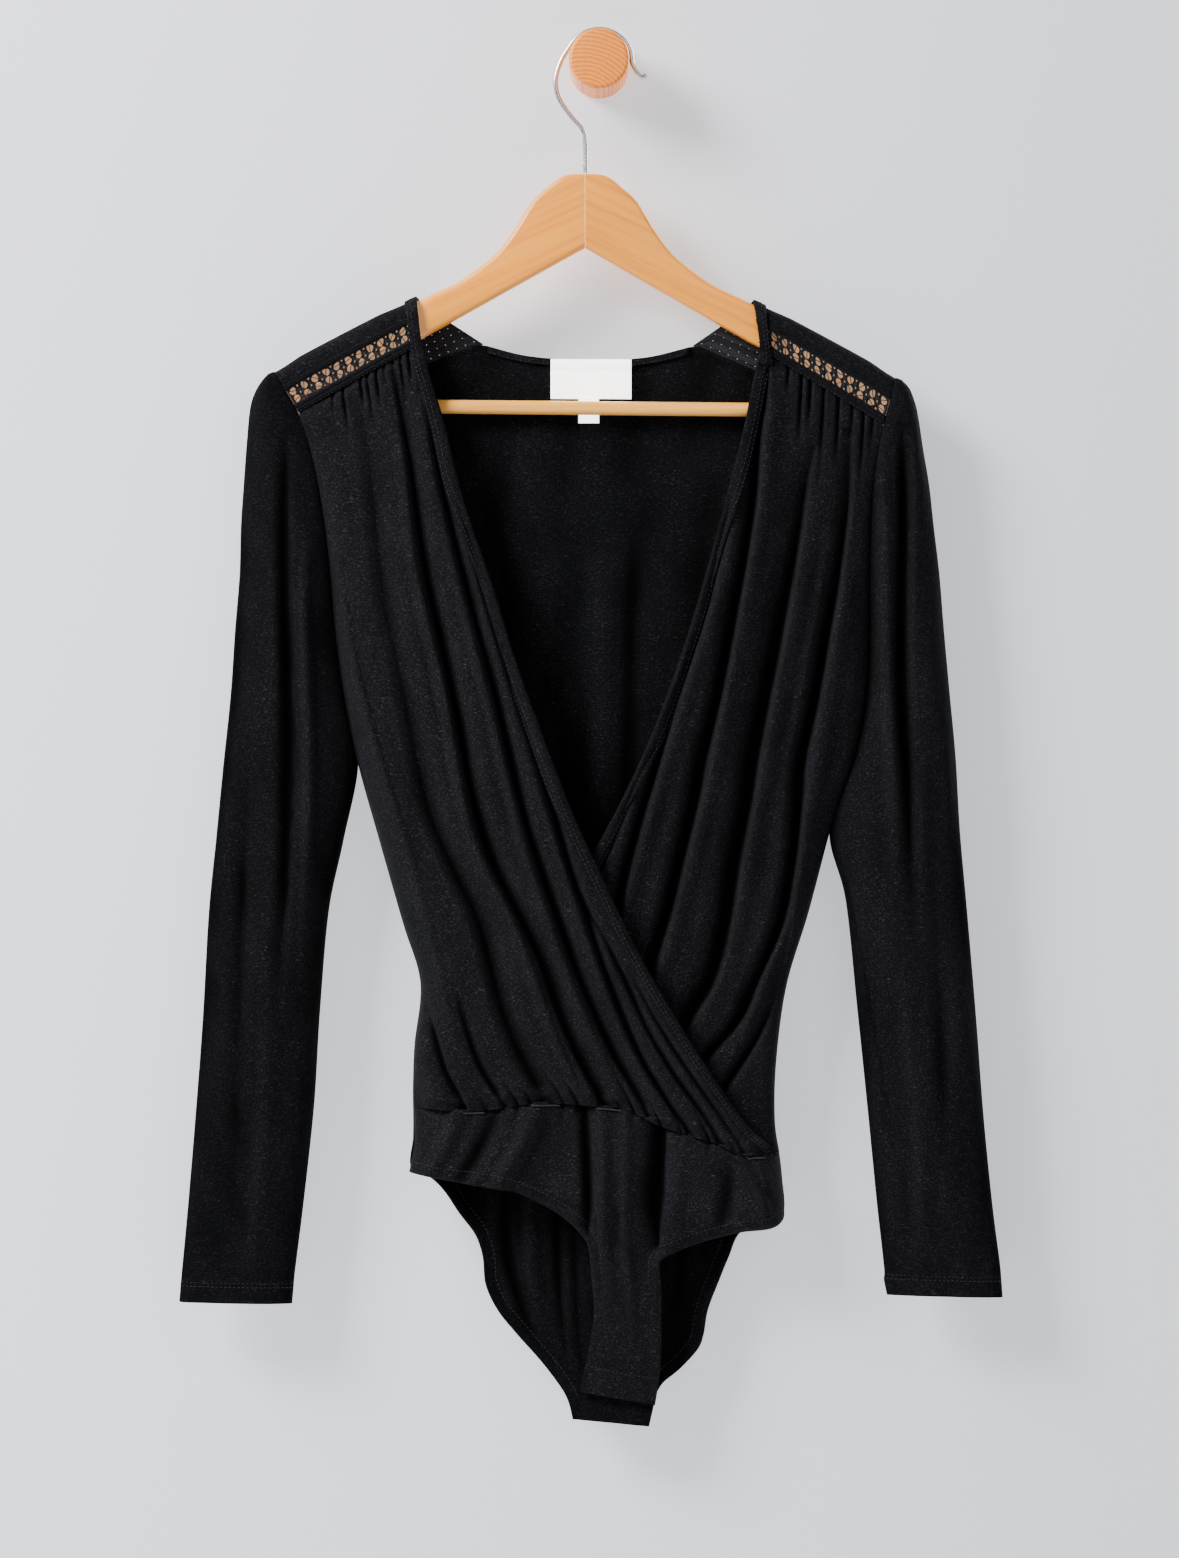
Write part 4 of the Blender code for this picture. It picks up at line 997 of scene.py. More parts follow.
def ridge(side, s):
    """The top of the shoulder band, s from its inner end, 0, to its outer end, 1."""
    reach = RIDGE_REACH[0] + (RIDGE_REACH[1] - RIDGE_REACH[0]) * np.asarray(s, float)
    crest = np.array(ARM_TOP[8:16])
    height = np.where(reach < 204, np.interp(reach, crest[:, 0], crest[:, 1]),
                      -211.2 - (reach - 204) * 0.6)
    spot = hanger_spot(side, reach, height + 1.7)
    return spot[..., 0] / MM, spot[..., 2] / MM


def shoulder(side, s, f, lift=0.0):
    """The shoulder band: f from -1 at the back seam, over the ridge at 0, to 1 at the front."""
    s, f = np.broadcast_arrays(np.asarray(s, float), np.asarray(f, float))
    front, back = FRONT_SEAM[side], BACK_SEAM[side]
    x, z = ridge(side, s)
    seam_x, seam_z = (np.where(f > 0, front[k] + (front[k + 2] - front[k]) * s,
                               back[k] + (back[k + 2] - back[k]) * s) for k in (0, 1))
    share = np.abs(f)
    t = np.clip(1 - share / RIDGE_SHARE, 0, 1)
    arch = (BAND_HALF + lift) * (1 - t**RIDGE_CURVE) ** (1 / RIDGE_CURVE)
    rise = lift * np.clip(t * 1.6 - 0.6, 0, 1)
    return room(x + (seam_x - x) * share, z + (seam_z - z) * share + rise,
                HANGER_DEPTH + np.sign(f) * arch)


# %% The bands, each down to the last row of its panel that it shows on
BAND_WIDE, SHOULDER_LENGTH = 8.0, 97.0
BAND_LIFT, RIDGE_LIFT = CLOTH / 2 + 2.6 * ON_TOP + TAPE / 2, 1.3
BAND_PANELS = (("right", over_front, 13.0), ("left", under_front, 9.36))
OVER_RIDGE = np.array((-0.3, -0.2, -0.12, -0.08, -0.04, -0.015, 0.0, 0.015, 0.04, 0.08, 0.13, 0.2,
                       0.28, 0.36, 0.5, 0.65, 0.8, 0.94))


def band_lines(side, sheet, last_row):
    """The band as lines down it: first over the shoulder, then down the panel's edge."""
    v = np.linspace(0.25, last_row, 240)
    width = np.abs(np.subtract(*read_rows(sheet.rows, v)[:, [2, 0]].T))
    lines = []
    for share in np.linspace(0, 1, 9):
        inset = BAND_WIDE * (1 - share)
        u = 1 - inset / width if side == "right" else inset / width
        bulge = 0.35 * math.sin(math.pi * share)
        down = sheet.out(u, v, np.full_like(v, BAND_LIFT + bulge))
        lift = np.interp(OVER_RIDGE, (0.3, 0.8), (RIDGE_LIFT, BAND_LIFT)) + bulge
        over = shoulder(side, inset / SHOULDER_LENGTH, OVER_RIDGE, lift)
        lines.append(np.concatenate((over, down)))
    return np.array(lines)


def lines_place(lines):
    """A place function that reads between lines of points."""

    def place(u, v):
        a, b = lines.shape[0] - 1, lines.shape[1] - 1
        i, j = np.clip((u * a).astype(int), 0, a - 1), np.clip((v * b).astype(int), 0, b - 1)
        f, g = (u * a - i)[:, None], (v * b - j)[:, None]
        upper = lines[i, j] * (1 - g) + lines[i, j + 1] * g
        lower = lines[i + 1, j] * (1 - g) + lines[i + 1, j + 1] * g
        return upper * (1 - f) + lower * f

    return place


bands, band_places = {}, {}
for side, sheet, last_row in BAND_PANELS:
    lines = band_lines(side, sheet, last_row)
    band_places[side] = lines_place(lines if side == "right" else lines[::-1])
    bands[side] = cloth(f"edge_band_{side}", band_places[side], 8, lines.shape[1] - 1,
                        (0.008, 0.60), TAPE_JERSEY, nodes=(f"front_band_{side}",), thick=TAPE)

# %% [markdown]
# ## The back
#
# The back hangs flat behind everything. Inside the open neck it shows a few slow folds, and the
# same folds show on the side that faces the wall, since it is one layer of cloth.

# %% The back panel
BACK_CREASES = (
    ((14, 14), (0, -310, 0.0), (2, -366, 2.2), (2, -475, 3.0), (4, -583, 2.6), (6, -650, 0.0)),
    ((9, 12), (24, -310, 0.0), (22, -366, -2.6), (20, -475, -3.5), (22, -583, -3.0),
     (26, -650, 0.0)),
    ((14, 14), (-72, -290, 0.0), (-64, -366, -2.4), (-58, -475, -3.0), (-52, -583, -2.6),
     (-50, -670, 0.0)),
    ((16, 16), (92, -290, 0.0), (84, -366, 2.4), (76, -475, 3.0), (70, -583, 2.6), (62, -670, 0.0)),
    ((10, 13), (-128, -330, 0.0), (-118, -420, 2.2), (-100, -520, 2.6), (-92, -610, 2.0),
     (-86, -690, 0.0)),
    ((12, 9), (128, -340, 0.0), (118, -430, -2.4), (100, -540, -2.8), (88, -640, -1.6),
     (84, -700, 0.0)),
    ((8, 8), (-24, -420, 0.0), (-26, -500, -1.6), (-24, -600, -1.8), (-20, -690, 0.0)),
    ((7, 7), (46, -560, 0.0), (44, -620, 1.4), (40, -680, 1.2), (38, -712, 0.0)),
)
BACK_WAIST_GATHERS = (-104, -86, -71, -53, -36, -17, 3, 21, 40, 56, 74, 92)


def back_more(x, z):
    return gathers(x, z, BACK_WAIST_GATHERS, waist(x), 40.0, -1.6, 0.0, 5.5)


rows = [(rx, rz, lx, lz, 2 * HANGER_DEPTH - rd, middle, 2 * HANGER_DEPTH - ld)
        for (rx, rz, rd), (lx, lz, ld), middle in zip(SIDE["right"], SIDE["left"], BACK_MIDDLE)]
back_sheet = Sheet(rows, scaled(BACK_CREASES, 0.55, 0.55), top=back_top, bottom=waist,
                   more=back_more, seed=2.3)
back_flat = panel_place(back_sheet, ("right", "left"), SEAM, SEAM)


def back_place(u, v):
    """The back's points, with its shoulder seams turned inwards, in front of the lace's edge."""
    spots = back_flat(u, v)
    x = spots[..., 0] / MM
    outside = ease((BACK_NECK[0][0] - x) / 6) + ease((x - BACK_NECK[-1][0]) / 6)
    inside = outside * ease(1 - v / 0.014)
    spots[..., 2] += 2.4 * inside * MM
    spots[..., 1] -= 1.5 * inside * MM
    return spots


back = cloth("back_panel", back_place, 150, 200, (0.34, 0.51), nodes=("back",), painted_shade=0.47)

# %% [markdown]
# ## The sleeves
#
# A sleeve is one tube. Its top edge is the armhole, sewn to the side edges of the front and back,
# and its cap closes over the hanger's end. It hangs flat, so each ring round it is a long flat
# oval. The cuff is turned up and stitched, which makes it stand out a little.

# %% Sleeve tables: outer x and height, half depth; below the armpit also the inner edge
CAP = {
    "right": ((-225, -213.2, 5.2), (-229, -217.5, 8.6), (-234, -226, 9.4)),
    "left": ((206, -217.5, 5.2), (211, -223, 8.6), (215, -234, 9.4)),
}
UPPER_SLEEVE = {
    "right": ((-237, -237, 10.5), (-239, -258, 11.5), (-241, -285, 12.5), (-243, -315, 13.0),
              (-244, -349, 13.5), (-247, -386, 14.0), (-250, -430, 14.0), (-255, -478, 14.0)),
    "left": ((217, -244, 10.5), (220, -264, 11.5), (224, -288, 12.5), (227, -315, 13.0),
             (231, -349, 13.5), (234, -386, 14.0), (238, -430, 14.0), (242, -473, 14.0),
             (245, -524, 14.0)),
}
LOWER_SLEEVE = {
    "right": (
        (-260, -529, -174, -529, 14.0), (-265, -580, -184, -577, 13.5),
        (-269, -651, -190, -645, 13.0), (-274, -717, -194, -709, 12.0),
        (-279, -777, -201, -774, 10.5), (-283, -820, -207, -822, 9.5),
        (-284, -831, -208, -833, 9.5), (-285, -843, -209, -844, 10.0)),
    "left": (
        (250, -580, 168, -570, 13.5), (256, -651, 176, -645, 13.0), (261, -717, 183, -713, 12.0),
        (267, -777, 189, -774, 10.5), (272, -816, 194, -819, 9.5), (273, -827, 194, -828, 9.5),
        (274, -840, 196, -838, 10.0)),
}
SLEEVE_CREASES = {
    "right": (
        ((10, 6), (-212, -250, 0.0), (-213, -300, -4.4), (-212, -366, -7.0), (-210, -450, -7.4),
         (-211, -520, -6.4), (-214, -580, -4.0), (-220, -660, 0.0)),
        ((6, 7), (-197, -320, 0.0), (-200, -366, 2.8), (-198, -434, 3.8), (-197, -500, 3.6),
         (-199, -560, 2.2), (-202, -640, 0.0)),
        ((12, 9), (-236, -420, 0.0), (-240, -520, -1.8), (-243, -600, -2.4), (-246, -700, -1.6),
         (-250, -790, 0.0)),
        ((9, 12), (-222, -600, 0.0), (-226, -680, 1.8), (-231, -760, 2.0), (-236, -820, 0.6)),
    ),
    "left": (
        ((7, 10), (206, -246, -1.5), (206, -300, -5.8), (205, -366, -7.6), (205, -430, -7.4),
         (208, -490, -5.4), (212, -560, -2.0), (216, -620, 0.0)),
        ((8, 7), (193, -246, 0.0), (193, -300, 2.4), (194, -366, 3.2), (196, -440, 3.0),
         (200, -520, 1.4), (204, -600, 0.0)),
        ((10, 12), (226, -480, 0.0), (228, -580, -1.8), (232, -680, -2.2), (236, -780, 0.0)),
        ((10, 9), (208, -620, 0.0), (214, -700, 1.8), (219, -770, 1.6), (222, -815, 0.5)),
        ((2.0, 2.0), (166, -545, 0.0), (171, -570, -0.9), (179, -611, -0.9), (191, -679, -0.9),
         (203, -747, -0.9), (208, -763, -0.9), (212, -818, -0.9), (213, -845, -0.9)),
    ),
}
CLOSING = ((0.0, 0.5, 0.3), (0.006, -0.2, 2.6))
CUFF_HEIGHT = 16.0
SLEEVE_SEED = {"right": 3.7, "left": 4.9}
# Painted shade for each sleeve's jersey where it has no folds: the right one, nearer the key lamp,
# is painted darker
SLEEVE_PAINTED_SHADE = {"right": 0.52, "left": 0.39}


def sleeve_table(side):
    """The rings round a sleeve: outer x and height, inner x and height, half depth, seam depth."""
    table = []
    first_x, first_z, _half = CAP[side][0]
    for f, rise, half in CLOSING:
        seam = shoulder(side, 1.0, f)
        table.append((first_x, first_z + rise, seam[0] / MM, seam[2] / MM + rise, half, 0.4))
    for (x, z, half), f in zip(CAP[side], (0.02, 0.16, 0.5)):
        seam = shoulder(side, 1.0, f)
        table.append((x, z, seam[0] / MM, seam[2] / MM, half, -seam[1] / MM - HANGER_DEPTH))
    for (x, z, half), (inner_x, inner_z, depth) in zip(UPPER_SLEEVE[side], SIDE[side]):
        table.append((x, z, inner_x, inner_z, half, depth - HANGER_DEPTH))
    return np.array(table + [(*row, 0.4) for row in LOWER_SLEEVE[side]], float)


def sleeve_place(side):
    way, table, seed = outwards(side), sleeve_table(side), SLEEVE_SEED[side]

    def place(u, v):
        x0, z0, x1, z1, half, seam = read_rows(table, v * (len(table) - 1)).T
        x1 = x1 + way * SEAM
        turn = 2 * math.pi * u
        s, bulge = (1 + np.cos(turn)) / 2, np.abs(np.sin(turn))
        offset = np.where(s < 0.5, half * bulge, seam + (half - seam) * bulge)
        x, z = x0 + (x1 - x0) * s, z0 + (z1 - z0) * s
        front = turn <= math.pi
        ends = ease(bulge * 1.6)
        lift = crease_lift(SLEEVE_CREASES[side], x, z) + 1.6 * uneven(x, z, seed)
        behind = 0.7 * crease_lift(SLEEVE_CREASES[side], x + way * 7, z - 24) \
            + 1.6 * uneven(x, z, seed + 2)
        low = table[-1, 1] + (table[-1, 3] - table[-1, 1]) * s
        cuff = ease((CUFF_HEIGHT - (z - low)) / 1.6) * 0.55
        stitch = -0.5 * ease(1 - np.abs(z - low - CUFF_HEIGHT + 2.5) / 1.1)
        offset = offset + np.where(front, lift, behind) * ends + (cuff + stitch) * ease(bulge * 3)
        return room(x, z, HANGER_DEPTH + np.where(front, offset, -offset))

    return place


sleeve_places = {side: sleeve_place(side) for side in SIDES}
sleeves = {side: cloth(f"sleeve_tube_{side}", place, 96, 300, (0.20, 0.64), tube=True,
                       nodes=(f"sleeve_{side}",), painted_shade=SLEEVE_PAINTED_SHADE[side])
           for side, place in sleeve_places.items()}

# %% [markdown]
# ## The brief
#
# Its front hangs from the waist seam and flares into a small peak at each side, because the leg
# openings are cut high. Front and back each end in a tab, and the tabs snap together.

# %% The brief's tables: left x and height, right x and height, depth at left, middle and right
BRIEF_FRONT = (
    (-126, -709, 122, -741, 34.4, 49.5, 34.4), (-125, -733, 124, -760, 34.4, 51.0, 34.4),
    (-128, -751.5, 125.5, -780, 34.4, 51.5, 34.4), (-126, -755, 124, -788, 35.0, 51.5, 34.6),
    (-103, -759.5, 116, -793, 37.0, 51.0, 36.0),
    (-81, -762, 97, -795, 40.0, 50.5, 38.5), (-61, -766, 79, -799, 42.5, 50.0, 41.0),
    (-40, -775, 62, -804, 44.5, 49.5, 43.0), (-25, -784, 50, -809, 45.5, 49.0, 44.5),
    (-13, -795, 44, -812, 46.0, 48.0, 45.5), (-7, -805, 41, -817, 45.5, 47.0, 45.0),
    (-5, -825, 42, -835, 44.0, 45.5, 44.0), (-3, -849, 42, -855, 42.0, 43.5, 42.0),
    (-6, -872, 42, -876, 40.0, 41.0, 40.0), (-10, -889, 41, -893, 38.7, 39.2, 38.7),
    (-13, -904, 38, -913, 38.0, 38.2, 38.0))
BRIEF_BACK = (
    (-126, -709, 122, -741, 33.6, 18.5, 33.6), (-126, -731, 124, -759, 33.6, 18.5, 33.6),
    (-127.5, -751, 125, -783, 33.6, 19.0, 33.6), (-114, -759, 113, -793, 31.0, 19.5, 31.0),
    (-105, -768, 96, -796, 29.0, 20.0, 29.0), (-95, -783, 88, -813, 27.5, 20.5, 27.5),
    (-84, -798, 82, -828, 26.5, 21.0, 26.5), (-79, -813, 74, -849, 26.0, 21.5, 26.0),
    (-77, -832, 71, -866, 26.0, 22.0, 26.0), (-69, -849, 67, -876, 27.0, 23.5, 27.0),
    (-57, -864, 55, -889, 28.5, 26.0, 28.5), (-40, -883, 44, -898, 30.5, 29.5, 30.5),
    (-27, -900, 39, -906, 33.0, 32.8, 33.0), (-21, -911, 37, -915, 33.8, 33.8, 33.8),
    (-18, -923, 34, -928, 34.0, 34.0, 34.0))
BRIEF_CREASES = (
    ((10, 11), (-94, -706, 2.0), (-101, -728, 3.8), (-112, -748, 3.8), (-122, -765, 2.0)),
    ((10, 13), (-42, -704, 2.4), (-50, -728, 4.4), (-63, -752, 4.2), (-76, -775, 2.0)),
    ((12, 11), (-68, -706, -1.0), (-76, -728, -3.6), (-88, -750, -3.4), (-98, -766, -1.2)),
    ((8, 5), (-10, -704, -3.0), (-8, -740, -5.6), (-7, -780, -5.4), (-9, -806, -3.6),
     (-10, -840, 0.0)),
    ((4, 9), (1, -704, 1.5), (2, -740, 3.2), (2, -790, 3.2), (4, -840, 1.8), (8, -880, 0.0)),
    ((5, 6), (17, -708, 1.0), (18, -750, 1.6), (18, -800, 1.6), (22, -850, 1.4), (24, -880, 0.0)),
    ((25, 2.8), (43, -716, -3.6), (44.5, -728, -7.6), (43.5, -760, -9.2), (41, -790, -8.4),
     (40, -812, -6.4), (37, -830, -2.6), (36, -850, 0.0)),
    ((6, 13), (53, -722, 0.5), (53, -750, 2.4), (50, -785, 2.2), (48, -806, 0.5)),
    ((12, 12), (86, -736, 0.5), (88, -760, -2.6), (84, -785, -2.6), (80, -800, -0.5)),
    ((9, 9), (106, -738, 0.0), (111, -762, 2.4), (114, -790, 1.8)),
    ((1.3, 1.3), (-120, -706, -1.3), (-120, -730, -1.3), (-123, -750, -1.0)),
    ((5, 2.5), (100, -742, -1.0), (106, -753, -2.6), (112, -765, -2.6), (118, -777, -1.6),
     (121, -783, 0.0)),
    ((5, 9), (4, -828, 0.0), (-1, -850, 1.8), (-5, -872, 1.4), (-8, -884, 0.0)),
)
TAB_SEAM = ((-10, -883.5), (16, -889.5), (41, -893.0))
BRIEF_BACK_CREASES = (
    ((9, 10), (-66, -712, 0.0), (-74, -750, -2.4), (-76, -800, -2.6), (-66, -850, 0.0)),
    ((7, 8), (-72, -740, 0.0), (-76, -770, 2.2), (-74, -810, 2.2), (-58, -850, 0.8)),
    ((8, 8), (-48, -730, 0.0), (-48, -770, 2.6), (-46, -820, 2.4), (-36, -880, 0.0)),
    ((7, 8), (-60, -740, 0.0), (-65, -790, -2.6), (-56, -840, -2.2), (-44, -870, 0.0)),
    ((7, 8), (-30, -740, 0.0), (-29, -790, -2.6), (-26, -850, -2.4), (-20, -895, 0.0)),
    ((7, 8), (-18, -760, 0.0), (-17, -810, -2.2), (-14, -870, -1.6), (-10, -905, 0.0)),
    ((9, 9), (60, -730, 0.0), (58, -770, -2.6), (56, -820, -2.4), (46, -870, 0.0)),
    ((8, 8), (20, -730, 0.0), (20, -790, 2.0), (22, -850, 1.4), (24, -900, 0.0)),
)


def brief_more(x, z):
    """Small tucks under the waist seam, and the tab's turned hem, one more layer thick."""
    below = waist(x) - z
    hem = 0.8 * ease((height_at(TAB_SEAM, x) - z) / 1.2)
    tucks = gathers(x, z, WAIST_GATHERS, waist(x), 18.0, -1.6, -0.2, 4.2)
    return tucks - 0.9 * ease(1 - below / 5) + hem


brief_front_sheet = Sheet(BRIEF_FRONT, BRIEF_CREASES, top=waist, more=brief_more, seed=5.5)
brief_back_sheet = Sheet(BRIEF_BACK, BRIEF_BACK_CREASES, top=waist, seed=6.1)
brief_front = cloth("brief_front_panel", panel_place(brief_front_sheet, (None, None), SEAM),
                    140, 150, (0.25, 0.20), nodes=("brief_front",), painted_shade=0.15)
brief_back = cloth("brief_back_panel", panel_place(brief_back_sheet, (None, None), SEAM),
                   120, 150, (0.25, 0.22), nodes=("brief_back",), painted_shade=0.46)

# %% [markdown]
# ## The shoulder bands
#
# From the ridge down: a plain strip of jersey that goes over the hanger, a stitched tape, the
# crochet lace, and a second stitched tape to which the gathered front is sewn. All are strips of
# one curved surface, so they meet exactly.

# %% The plain strips and tapes
STRIPS = (("yoke", -0.355, 0.355, 40, CLOTH), ("tape_upper", 0.365, 0.445, 12, TAPE),
          ("tape_lower", 0.84, 0.985, 16, TAPE))
RIB = 0.8


def strip_place(side, start, end, ribbed):
    """A strip of the shoulder band. A tape has two rounded ribs along it, where it is folded."""

    def place(u, v):
        s = u if side == "left" else 1 - u
        f = start + (end - start) * v
        return shoulder(side, s, f, RIB * ribbed * np.abs(np.sin(2 * math.pi * v)))

    return place


strips, strip_places = {}, {}
for side in SIDES:
    for name, start, end, down, thick in STRIPS:
        look = JERSEY if name == "yoke" else TAPE_JERSEY
        strip_places[name, side] = strip_place(side, start, end, name != "yoke")
        strips[name, side] = cloth(f"{name}_strip_{side}", strip_places[name, side], 60, down,
                                   (0.10, 0.05 * (end - start)), look, nodes=(f"{name}_{side}",),
                                   thick=thick)

# %% [markdown]
# Crochet lace is yarn looped round holes. The base is a flat strip with its holes cut through, and
# a ring of yarn runs round each hole and along both rails, so that it stands in relief. On the
# front the big gaps come in pairs, one over the other, and each leans its own way, with a thread
# across it. Behind the shoulder the lace is worked close, with small holes only. In the code, face
# is 1 for the front and -1 for the back.

# %% The lace's pattern of holes
LACE_EDGES = {1: (0.452, 0.833), -1: (0.37, 0.995)}
LACE_HOLES = 12
BIG_HOLE = 2.0
BAND_DROP = 30.0
LACE_SINK = 1.5
CLOSE_ROWS, CLOSE_HOLES = 5, 20


def band_length(side):
    seam = FRONT_SEAM[side]
    return math.hypot(seam[2] - seam[0], seam[3] - seam[1])


def ring(side, s, f, wide, tall, lean, count, face, grow=0.0):
    """A teardrop hole: round at one end, narrower at the other, and leaning a little."""
    spots = []
    for k in range(count):
        a = 2 * math.pi * k / count
        pinch = 1 - 0.5 * (1 + math.cos(a)) / 2
        x, y = math.sin(a) * (wide / 2 + grow) * pinch, math.cos(a) * (tall / 2 + grow)
        across = x * math.cos(lean) + y * math.sin(lean)
        along = y * math.cos(lean) - x * math.sin(lean)
        spots.append((s + across / band_length(side), face * (f - along / BAND_DROP)))
    return spots


def close_holes(top, low):
    """The small holes behind the shoulder: s, f, width, height, how each leans."""
    rows = np.linspace(top + 0.09, low - 0.09, CLOSE_ROWS)
    return [((i + 0.5 + 0.5 * (j % 2)) / (CLOSE_HOLES + 1), f, 0.5, 0.45, 0.4 * (-1) ** j)
            for i in range(CLOSE_HOLES) for j, f in enumerate(rows)]


def open_holes(top, low):
    """The front's holes: pairs of big ones, with three small ones between pairs."""
    middle = (top + low) / 2
    holes = []
    for i in range(LACE_HOLES):
        s = (i + 0.5) / LACE_HOLES
        wobble = 0.5 * math.sin(i * 2.3)
        for shift, turn in ((-0.092, 0.0), (0.092, math.pi)):
            lean = 0.62 * (-1) ** i + 0.3 * math.sin(i * 1.7 + turn)
            holes.append((s, middle + shift, 5.5 + wobble, 5.1, turn + lean))
        if i:
            for shift in (-0.15, 0.0, 0.15):
                size = 1.7 if shift else 1.5
                holes.append((i / LACE_HOLES, middle + shift, size, size, 0.0))
    return holes


HOLES = {1: open_holes(*LACE_EDGES[1]), -1: close_holes(*LACE_EDGES[-1])}
print("lace holes, front and back:", len(HOLES[1]), len(HOLES[-1]))


# %% The lace's base
def lace_spots(side, face, s, f):
    """The lace sinks a little towards the wood, between the two tapes that hold it."""
    top, low = LACE_EDGES[face]
    dip = -LACE_SINK * np.sin(math.pi * np.clip((np.abs(f) - top) / (low - top), 0, 1))
    return shoulder(side, s, f, dip)


def lace_base(name, side, face):
    """The strip with its holes cut through, as a filled flat outline laid on the band's surface."""
    top, low = LACE_EDGES[face]
    edge = np.linspace(0.004, 0.996, 60)
    loops = [[(s, face * top) for s in edge] + [(s, face * low) for s in edge[::-1]]]
    loops += [ring(side, *hole, 12 if hole[2] > BIG_HOLE else 6, face) for hole in HOLES[face]]
    curve = bpy.data.curves.new(name, "CURVE")
    curve.dimensions, curve.fill_mode = "2D", "BOTH"
    curve.extrude = 0.45 * MM
    wide, tall = band_length(side) * MM, BAND_DROP * MM
    for loop in loops:
        add_line(curve, [(s * wide, f * tall, 0) for s, f in loop], True)
    mesh = curve_mesh(name, curve)
    flat = np.array([vert.co for vert in mesh.vertices])
    spots = lace_spots(side, face, flat[:, 0] / wide, flat[:, 1] / tall)
    spots[:, 1] -= flat[:, 2]
    mesh.vertices.foreach_set("co", spots.ravel())
    return mesh


# %% The lace's yarn, joined with the base into one mesh
def join_meshes(name, meshes):
    bm = bmesh.new()
    for mesh in meshes:
        bm.from_mesh(mesh)
        bpy.data.meshes.remove(mesh)
    bmesh.ops.remove_doubles(bm, verts=bm.verts, dist=1e-7)
    bmesh.ops.recalc_face_normals(bm, faces=bm.faces)
    return mesh_from(bm, name)


def yarn(side, face, points, radius, lift, cyclic=False):
    spots = lace_spots(side, face, *np.array(points).T)
    spots[:, 1] -= face * lift * MM
    return tube_mesh("yarn", spots, radius * MM, 1, cyclic)


for side in SIDES:
    for face, node in ((1, "lace"), (-1, "back_lace")):
        parts = [lace_base(node, side, face)]
        for k, hole in enumerate(HOLES[face]):
            big = hole[2] > BIG_HOLE
            loop = ring(side, *hole, 14 if big else 8, face, 0.22)
            parts.append(yarn(side, face, loop, 0.30 if big else 0.24, 0.5, True))
            if big:
                start = 3 + k % 3
                bridge = [loop[start], (hole[0], face * hole[1]), loop[start + 7]]
                parts.append(yarn(side, face, bridge, 0.3, 0.2))
        top, low = LACE_EDGES[face]
        for f in (top + 0.008 * face, low - 0.01):
            rail = [(s, face * (f + 0.006 * math.sin(k * 1.9)))
                    for k, s in enumerate(np.linspace(0.006, 0.994, 120))]
            parts.append(yarn(side, face, rail, 0.36, 0.55))
        finish_piece(f"crochet_{node}_{side}", join_meshes(node, parts),
                                         LACE_YARN, (f"{node}_{side}",))

# %% [markdown]
# ## Inside the back neck
#
# A narrow band finishes the neckline. Under it sits a wide woven label and a small tab, both left
# bare.

# %% The neck band, label and tab
NECK_ENDS = (BACK_NECK[0][0] + 2, BACK_NECK[-1][0] - 2)
NECK_TOP, NECK_WIDE = 0.6, 4.6


def neck_place(u, v):
    x = NECK_ENDS[0] + (NECK_ENDS[1] - NECK_ENDS[0]) * u
    height = back_top(x) - NECK_TOP - NECK_WIDE * v
    lift = CLOTH / 2 + ON_TOP + TAPE / 2 + 0.3 * np.sin(math.pi * v)
    return back_sheet.out(*back_sheet.place(x, height), lift)


neck_band = cloth("neck_band", neck_place, 80, 6, (0.145, 0.005), TAPE_JERSEY,
                  nodes=("back_neck_band",), thick=TAPE)


def tag_place(x0, x1, top, low, bow, curl):
    """A tape sewn in at its top edge. It lies over the neck band, bows out and curls at its end."""

    def place(u, v):
        x, z = x0 + (x1 - x0) * u, top + (low - top) * v
        lift = CLOTH / 2 + ON_TOP + 0.4 + bow * np.sin(math.pi * u) * v + curl * v**3
        lift = lift + (TAPE + ON_TOP + 0.3) * ease((7.0 - (top - z)) / 2.0)
        return back_sheet.out(*back_sheet.place(x, z), lift)

    return place


label = cloth("blank_label", tag_place(-33, 22, -201.6, -228.5, 0.5, 0.3), 40, 24, (0.055, 0.027),
              WHITE_TAPE_PAINTED_GLOW, ("label",), 0.7)
size_tab = cloth("blank_tab", tag_place(-14, 0, -228.8, -245.0, 0.3, 0.6), 16, 16, (0.014, 0.016),
                 WHITE_TAPE_PAINTED_GLOW, ("size_tab",), 0.8)

# %% [markdown]
# ## Snaps
#
# Two pressed steel snaps hold the tabs. Each is a turned shape, so its half outline is spun.

# %% The snaps: half an outline, radius in millimetres and share of the half thickness
SNAP_OUTLINE = ((0.0, -1), (3.4, -1), (4.0, -0.6), (3.6, -0.2), (2.6, 0), (3.6, 0.2), (4.0, 0.6),
                (3.4, 1), (0.0, 1))
for side in SIDES:
    name = f"snap_{side}"
    low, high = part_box(name)
    middle, half = (low + high) / 2, (high.y - low.y) / 2
    bm = bmesh.new()
    verts = [bm.verts.new((middle.x + radius * MM, middle.y + half * share, middle.z))
             for radius, share in SNAP_OUTLINE]
    edges = [bm.edges.new(pair) for pair in zip(verts, verts[1:])]
    bmesh.ops.spin(bm, geom=verts + edges, cent=middle, axis=(0, 1, 0), angle=2 * math.pi,
                   steps=32, use_merge=True)
    bmesh.ops.remove_doubles(bm, verts=bm.verts, dist=1e-6)
    bmesh.ops.recalc_face_normals(bm, faces=bm.faces)
    finish_piece(f"pressed_{name}", mesh_from(bm, name), STEEL, (name,))
    print(f"{name}: {2 * half / MM:.1f} mm thick")

